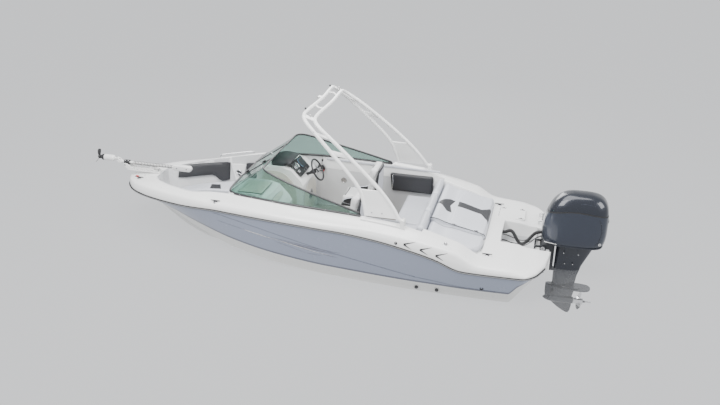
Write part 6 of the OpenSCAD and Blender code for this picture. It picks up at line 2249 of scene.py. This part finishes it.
# ------------------------------------------------------------------ bow motor
@dataclass
class BowMotor:
    """The stowed electric motor: white mount and shaft, rounded head, clevis, pod, screw and coiled lead."""
    axis_z: float = 0.878
    pivot: Point = (3.235, 0.0, 0.850)
    pod: Point = (3.380, 0.0, 0.918)
    head: tuple[float, float] = (2.18, 2.40)
    coil: tuple[float, float] = (2.46, 3.12)
    coil_turns: int = 26
    coil_radius: float = 0.0245
    blades: int = 3

    def build(self) -> None:
        """Builds the mount, the sliding shaft, the pod and its screw."""
        self._mount()
        self._cradle()
        self._shaft()
        self._pod()

    def _mount(self) -> None:
        """The channel mount with V-shaped cut-outs between its flanges, and bolts."""
        piece = Piece("bow_mount_channel", finishes=[WHITE_PLASTIC, STAINLESS, BLACK_PLASTIC])
        piece.block((2.661, -0.064, 0.7682), (3.199, 0.064, 0.786), 0.005, 0, 3)
        for side in (1, -1):
            y = side * 0.058
            piece.block((2.68, y - 0.004, 0.780), (3.19, y + 0.004, 0.792), 0.002, 0)
            for k in range(5):
                x = 2.72 + 0.090 * k
                piece.tube([Vector((x, y, 0.789)), Vector((x + 0.045, y, 0.826)),
                            Vector((x + 0.090, y, 0.789))], 0.0055, 8, 0)
            piece.block((2.755, y - 0.004, 0.820), (3.135, y + 0.004, 0.830), 0.002, 0)
            shape = chaikin([Vector((x, side * 0.0445, z))
                             for x, z in ((3.080, 0.787), (3.200, 0.787), (3.261, 0.827), (3.261, 0.873),
                                          (3.200, 0.873))], 1, True)
            piece.plate(shape, Vector((0, side * 0.017, 0)), 0.004, 0, 2)
            piece.lathe([(0.0, 0.014), (0.006, 0.014), (0.009, 0.008)], (3.235, side * 0.0615, 0.850),
                        (0, side, 0), 16, 1)
        piece.tube([Vector((3.235, -0.06, 0.85)), Vector((3.235, 0.06, 0.85))], 0.0079, 14, 1)
        piece.block((2.682, -0.029, 0.786), (2.758, 0.029, 0.8195), 0.006, 2, 2)
        for x in (2.70, 2.84, 3.00):
            for y in (-0.036, 0.036):
                piece.lathe([(0.0, 0.008), (0.004, 0.008), (0.006, 0.004)], (x + 0.09, y, 0.786), (0, 0, 1),
                            10, 1)
        piece.done("white_plastic", ["bow_motor_mount"], sharp=45)

    def _cradle(self) -> None:
        """The black pivoting collar that the shaft slides through."""
        piece = Piece("bow_cradle_collar", "bow_motor_cradle", [BLACK_PLASTIC, STAINLESS])
        piece.lathe([(-0.0375, 0.0215), (0.0375, 0.0215)], self.pivot, (0, 1, 0), 24, 0)
        piece.lathe([(-0.060, 0.034), (-0.056, 0.0355), (0.026, 0.0355), (0.030, 0.034), (0.030, 0.0186),
                     (-0.060, 0.0186)], (3.235, 0, self.axis_z), (1, 0, 0), 28, 0)
        piece.block((3.180, -0.035, 0.846), (3.262, 0.035, 0.868), 0.006, 0, 2)
        for x in (3.195, 3.245):
            piece.lathe([(0.032, 0.006), (0.038, 0.006), (0.040, 0.003)], (x, 0, self.axis_z),
                        (0, 0.5, 0.8), 10, 1)
        piece.done("black_plastic", ["bow_motor_cradle"], sharp=45)

    def _shaft(self) -> None:
        """The white shaft with its rounded head, side dots, the clevis and the coiled lead."""
        piece = Piece("bow_shaft_head", "bow_motor_shaft", [WHITE_PLASTIC, BLACK_PLASTIC, STAINLESS])
        z = self.axis_z
        piece.tube([Vector((2.38, 0, z)), Vector((2.9, 0, z)), Vector((3.338, 0, z))], 0.0179, 20, 0)
        rows = []
        for y, r in ((-0.037, 0.030), (-0.034, 0.040), (-0.026, 0.0455), (0.0, 0.0458), (0.026, 0.0455),
                     (0.034, 0.040), (0.037, 0.030)):
            ring = []
            for k in range(28):
                a = math.tau * k / 28
                ring.append(Vector((self.head[math.cos(a) > 0] + r * math.cos(a), y,
                                    z - 0.004 + r * math.sin(a))))
            rows.append(ring)
        piece.skin(rows, closed=True, caps=True)
        for x in (2.21, 2.37):
            for side in (1, -1):
                piece.lathe([(0.036, 0.009), (0.0385, 0.009), (0.0395, 0.005)], (x, 0, z - 0.004),
                            (0, side, 0), 14, 1)
        for side in (1, -1):
            shape = chaikin([Vector((x, side * 0.0205, q))
                             for x, q in ((3.322, z - 0.022), (3.372, z - 0.012), (3.399, z + 0.030),
                                          (3.392, z + 0.058), (3.362, z + 0.058), (3.322, z + 0.022))], 1,
                            True)
            piece.plate(shape, Vector((0, side * 0.009, 0)), 0.003, 0, 2)
            piece.lathe([(0.029, 0.010), (0.0325, 0.010), (0.034, 0.006)], (3.380, 0, z + 0.040),
                        (0, side, 0), 14, 2)
        piece.block((3.311, -0.029, z - 0.023), (3.339, 0.029, z + 0.023), 0.005, 0, 2)
        piece.tube([Vector((3.38, -0.029, z + 0.04)), Vector((3.38, 0.029, z + 0.04))], 0.0059, 12, 2)
        coil, steps = [], self.coil_turns * 12
        for k in range(steps + 1):
            a = math.tau * self.coil_turns * k / steps
            x = self.coil[0] + (self.coil[1] - self.coil[0]) * k / steps
            coil.append(Vector((x, self.coil_radius * math.cos(a), z + self.coil_radius * math.sin(a))))
        piece.tube(coil, 0.0034, 6, 1)
        piece.done("white_plastic", ["bow_motor_shaft"], sharp=45)

    def _pod(self) -> None:
        """The pod's faired body with a dark nose, and the two-piece screw."""
        piece = Piece("bow_pod_body", "bow_motor_pod", [WHITE_PLASTIC, BLACK_PLASTIC, STAINLESS])
        x, _, z = self.pod
        piece.lathe([(-0.014, 0.0178), (0.014, 0.0178)], self.pod, (0, 1, 0), 22, 0)
        piece.block((x + 0.002, -0.0135, z - 0.0135), (x + 0.062, 0.0135, z + 0.0135), 0.004, 0, 2)
        piece.lathe([(0.050, 0.020), (0.056, 0.036), (0.070, 0.0455), (0.095, 0.0478), (0.215, 0.0478),
                     (0.222, 0.0465)], self.pod, (1, 0, 0), 32, 0)
        piece.lathe([(0.222, 0.0470), (0.238, 0.0475), (0.262, 0.0440), (0.278, 0.030), (0.280, 0.010)],
                    self.pod, (1, 0, 0), 32, 1)
        piece.lathe([(0.278, 0.0078), (0.330, 0.0078)], self.pod, (1, 0, 0), 14, 2)
        piece.done("white_plastic", ["bow_motor_pod"], sharp=45)
        screw = Piece("bow_screw_blades", "bow_motor_screw", [BLACK_PLASTIC, STAINLESS])
        base = Vector((x + 0.296, 0, z))
        screw.lathe([(0.0, 0.026), (0.004, 0.0298), (0.028, 0.0298), (0.038, 0.022), (0.043, 0.010)], base,
                    (1, 0, 0), 28, 0)
        for blade in range(self.blades):
            before = set(screw.bm.verts)
            rows = []
            for k in range(8):
                t = k / 7
                r = 0.022 + 0.100 * t
                chord = 0.022 * (0.9 + 0.5 * math.sin(math.pi * t * 0.8)) * (0.6 if k == 7 else 1)
                pitch = math.radians(62 - 26 * t)
                ring = []
                for a in range(10):
                    u, v = math.cos(math.tau * a / 10), math.sin(math.tau * a / 10)
                    along, across = chord * u * 0.9, 0.0025 * v
                    ring.append(Vector((base.x + 0.022 + along * math.cos(pitch) + across * math.sin(pitch),
                                        along * math.sin(pitch) - across * math.cos(pitch) - 0.018 * t * t,
                                        z + r)))
                rows.append(ring)
            screw.skin(rows, closed=True, caps=True)
            fresh = [v for v in screw.bm.verts if v not in before]
            bmesh.ops.rotate(screw.bm, cent=(0, 0, z),
                             matrix=Matrix.Rotation(math.tau * blade / self.blades, 3, "X"), verts=fresh)
        screw.done("black_plastic", ["bow_motor_propeller"], sharp=50)


# ------------------------------------------------------------------ fittings
@dataclass
class Fittings:
    """Deck hardware: hatch lid and latches, ladder, cleats, grab rail, brackets and the pads' recess."""
    hatch_x: tuple[float, float] = (-2.923, -2.537)
    hatch_y: tuple[float, float] = (-0.813, -0.437)
    hatch_z: float = 0.4505
    latches: tuple[tuple[float, float], ...] = ((-2.590, -0.790), (-2.868, -0.790), (-2.868, -0.462))
    cleats: tuple[tuple[float, float], ...] = ((2.900, 0.250), (1.330, 0.975), (-2.512, 0.872))
    rail_inset: float = 150.0

    def build(self) -> None:
        """Builds the small fittings."""
        self._recess()
        self._hatch()
        self._ladder()
        self._cleats()
        self._rail()
        self._brackets()

    def _recess(self) -> None:
        """The moulded floor and sides under the stern pads."""
        piece = Piece("pad_recess", finishes=[GELCOAT])
        piece.block((-2.444, -0.905, 0.450), (-1.636, 0.905, 0.4695), 0.002, 0, 1)
        piece.done("deck")

    def _hatch(self) -> None:
        """The stern hatch lid with its non-skid pad, a hinge and three latches."""
        piece = Piece("stern_hatch_panel", "stern_hatch", [GELCOAT, NONSKID, BLACK_PLASTIC, STAINLESS])
        (x0, x1), (y0, y1), z = self.hatch_x, self.hatch_y, self.hatch_z
        square = [Vector((x, y, z)) for x, y in ((x0, y0 + 0.03), (x0 + 0.009, y0 + 0.009), (x0 + 0.03, y0),
                                                 (x1, y0), (x1, y1), (x0 + 0.03, y1),
                                                 (x0 + 0.009, y1 - 0.009), (x0, y1 - 0.03))]
        piece.plate(square, Vector((0, 0, 0.030)), 0.004, 0, 3)
        pad = [Vector((p.x * 0.86 + (x0 + x1) * 0.07, p.y * 0.86 + (y0 + y1) * 0.07, z + 0.0285))
               for p in square]
        piece.plate(pad, Vector((0, 0, 0.003)), 0.0012, 1, 1)
        piece.tube([Vector((x1 + 0.001, y0 + 0.04, z + 0.032)), Vector((x1 + 0.001, -0.62, z + 0.032)),
                    Vector((x1 + 0.001, y1 - 0.04, z + 0.032))], 0.0068, 14, 3)
        for x, y in self.latches:
            piece.block((x - 0.034, y - 0.013, z + 0.029), (x + 0.034, y + 0.013, z + 0.038), 0.004, 2, 3)
            piece.lathe([(0.0, 0.010), (0.006, 0.009), (0.008, 0.004)], (x, y, z + 0.037), (0, 0, 1), 14, 2)
        piece.done("deck", ["stern_hatch_lid"], sharp=45)

    def _ladder(self) -> None:
        """The stowed swim ladder: two rails, treads with grips and a pull handle."""
        piece = Piece("swim_ladder_rails", finishes=[STAINLESS, BLACK_PLASTIC])
        piece.take("swim_ladder", 0, 1.0)
        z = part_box("swim_ladder")[1].z - 0.013
        for x in (-3.19, -3.29):
            piece.block((x - 0.022, -0.735, z + 0.006), (x + 0.022, -0.505, z + 0.016), 0.004, 1, 2)
        piece.done("stainless", ["swim_ladder"], sharp=50)

    def _cleats(self) -> None:
        """Pull-up cleats with rounded horns in round cups."""
        piece = Piece("pull_up_cleats", finishes=[BLACK_PLASTIC, STAINLESS])
        for x, y in self.cleats:
            for side in (1, -1):
                z = LINES.top(x, y)
                piece.lathe([(-0.014, 0.0335), (0.004, 0.0335), (0.008, 0.028), (0.007, 0.020)],
                            (x, side * y, z), (0, 0, 1), 26, 1)
                piece.lathe([(0.0, 0.024), (0.012, 0.017), (0.020, 0.020)], (x, side * y, z), (0, 0, 1), 18,
                            0)
                path = [Vector((x + d, side * y, z + h))
                        for d, h in ((-0.070, 0.024), (-0.045, 0.022), (0.0, 0.019), (0.045, 0.022),
                                     (0.070, 0.024))]
                piece.tube(chaikin(path, 1), [0.005, 0.0065, 0.0075, 0.009, 0.009, 0.0075, 0.0065,
                                              0.005][:len(chaikin(path, 1))], 10, 0)
        piece.done("black_plastic", ["cleats"], sharp=50)

    def _rail(self) -> None:
        """The bow grab rail with round feet."""
        piece = Piece("grab_rail_bow", finishes=[STAINLESS])
        path = []
        for x, h in ((1440, 1.5), (1440, 30), (1462, 54), (1500, 62), (1700, 62), (1900, 62), (1938, 54),
                     (1960, 30), (1960, 1.5)):
            y = (LINES.rail_y.at(x) - self.rail_inset) * MM
            path.append(Vector((x * MM, -y, LINES.top(x * MM, y) + h * MM)))
        piece.tube(chaikin(path, 2), 0.0108, 14)
        for p in (path[0], path[-1]):
            piece.lathe([(0.0, 0.022), (0.004, 0.021), (0.006, 0.013)], p - Vector((0, 0, 0.001)),
                        (0, 0, 1), 22)
        piece.done("stainless", ["bow_grab_rail"], sharp=50)

    def _brackets(self) -> None:
        """Bolts on the clamp and swivel brackets."""
        piece = Piece("clamp_bolts", finishes=[STAINLESS, RUBBER])
        for side in (1, -1):
            for z in (0.29, 0.20, 0.06, -0.02):
                piece.lathe([(0.0, 0.012), (0.006, 0.012), (0.010, 0.007)], (-3.200, side * 0.1215, z),
                            (0, side, 0), 6, 0)
            piece.lathe([(0.0, 0.030), (0.004, 0.030), (0.010, 0.020)], (-3.225, side * 0.139, 0.330),
                        (0, side, 0), 20, 0)
            piece.lathe([(0.0, 0.012), (0.006, 0.012)], (-3.235, side * 0.099, -0.020), (0, side, 0), 14, 0)
        piece.done("bracket_black", sharp=45)


PARTS: tuple[Callable[[], object], ...] = (
    Hull, Deck, Cockpit, SteeringWheel, Windshield, SternPads,
    lambda: BucketSeat("helm_chair", "helm_seat", "helm_seat_cushion", (-0.400, -0.560), True),
    lambda: BucketSeat("port_chair", "port_seat", "port_seat_cushion", (-0.400, 0.560)),
    BowSeating, Arch, Outboard, BowMotor, Fittings,
)


# ------------------------------------------------------------------ stage and camera
@dataclass
class Studio:
    """A pale floor at the waterline, soft light and the camera."""
    lens: float = 41.75
    roll: float = 1.1
    eye: Point = (-3.213, 10.983, 5.584)
    look: Point = (-0.534, 0.0, 0.648)
    veil: float = 0.07
    room: float = 1.02
    lamps: tuple[tuple[str, Point, float, float], ...] = (
        ("key", (2.5, 5.0, 7.5), 900, 5.0), ("top", (-1.0, 0.5, 8.0), 720, 6.0),
        ("aft", (-8.0, 2.0, 4.5), 360, 3.5), ("far", (1.0, -7.5, 4.0), 260, 4.0))

    def build(self) -> None:
        """Makes the camera, the floor and the lights."""
        self._camera()
        self._floor()
        self._lights()

    def _camera(self) -> None:
        """A camera at the reference angle, rolled by about a degree."""
        data = bpy.data.cameras.new("camera")
        data.lens, data.sensor_width = self.lens, 36.0
        cam = bpy.data.objects.new("camera", data)
        bpy.context.scene.collection.objects.link(cam)
        eye, ahead = Vector(self.eye), (Vector(self.look) - Vector(self.eye)).normalized()
        right = ahead.cross(Vector((0, 0, 1))).normalized()
        up = right.cross(ahead)
        a = math.radians(self.roll)
        r, u = right * math.cos(a) + up * math.sin(a), up * math.cos(a) - right * math.sin(a)
        cam.matrix_world = Matrix(((r.x, u.x, -ahead.x, eye.x), (r.y, u.y, -ahead.y, eye.y),
                                   (r.z, u.z, -ahead.z, eye.z), (0, 0, 0, 1)))
        bpy.context.scene.camera = cam

    def _floor(self) -> None:
        """A pale floor plane at the waterline, mostly clear so that the underwater hull shows through it."""
        mesh = bpy.data.meshes.new("floor")
        bm = bmesh.new()
        bmesh.ops.create_grid(bm, x_segments=1, y_segments=1, size=40)
        bm.to_mesh(mesh)
        bm.free()
        floor = bpy.data.objects.new("floor", mesh)
        bpy.context.scene.collection.objects.link(floor)
        mat = bpy.data.materials.new("pale clear floor")
        mat.use_nodes = True
        tree = mat.node_tree
        tree.nodes.clear()
        out = tree.nodes.new("ShaderNodeOutputMaterial")
        mix = tree.nodes.new("ShaderNodeMixShader")
        mix.inputs["Fac"].default_value = self.veil
        clear = tree.nodes.new("ShaderNodeBsdfTransparent")
        pale = tree.nodes.new("ShaderNodeBsdfDiffuse")
        pale.inputs["Color"].default_value = (0.86, 0.87, 0.88, 1)
        tree.links.new(clear.outputs["BSDF"], mix.inputs[1])
        tree.links.new(pale.outputs["BSDF"], mix.inputs[2])
        tree.links.new(mix.outputs["Shader"], out.inputs["Surface"])
        mesh.materials.append(mat)

    def _lights(self) -> None:
        """A pale room, a broad key from above the port bow and two fills."""
        world = bpy.data.worlds.new("room")
        world.use_nodes = True
        sky = world.node_tree.nodes["Background"]
        sky.inputs["Color"].default_value = (0.90, 0.915, 0.94, 1)
        sky.inputs["Strength"].default_value = self.room
        bpy.context.scene.world = world
        for name, at, power, size in self.lamps:
            data = bpy.data.lights.new(name, "AREA")
            data.energy, data.size = power, size
            lamp = bpy.data.objects.new(name, data)
            bpy.context.scene.collection.objects.link(lamp)
            lamp.location = at
            lamp.rotation_mode = "QUATERNION"
            lamp.rotation_quaternion = (Vector((-0.5, 0, 0.5)) - Vector(at)).to_track_quat("-Z", "Y")


def main() -> None:
    """Builds every sub-assembly in order, then the stage."""
    logging.basicConfig(level=logging.INFO, format="%(name)s: %(message)s")
    Studio().build()
    dress_cad_nodes()
    for part in PARTS:
        part().build()
        log.info("built %s", getattr(part, "__name__", "seat"))


if __name__ == "__main__":
    main()
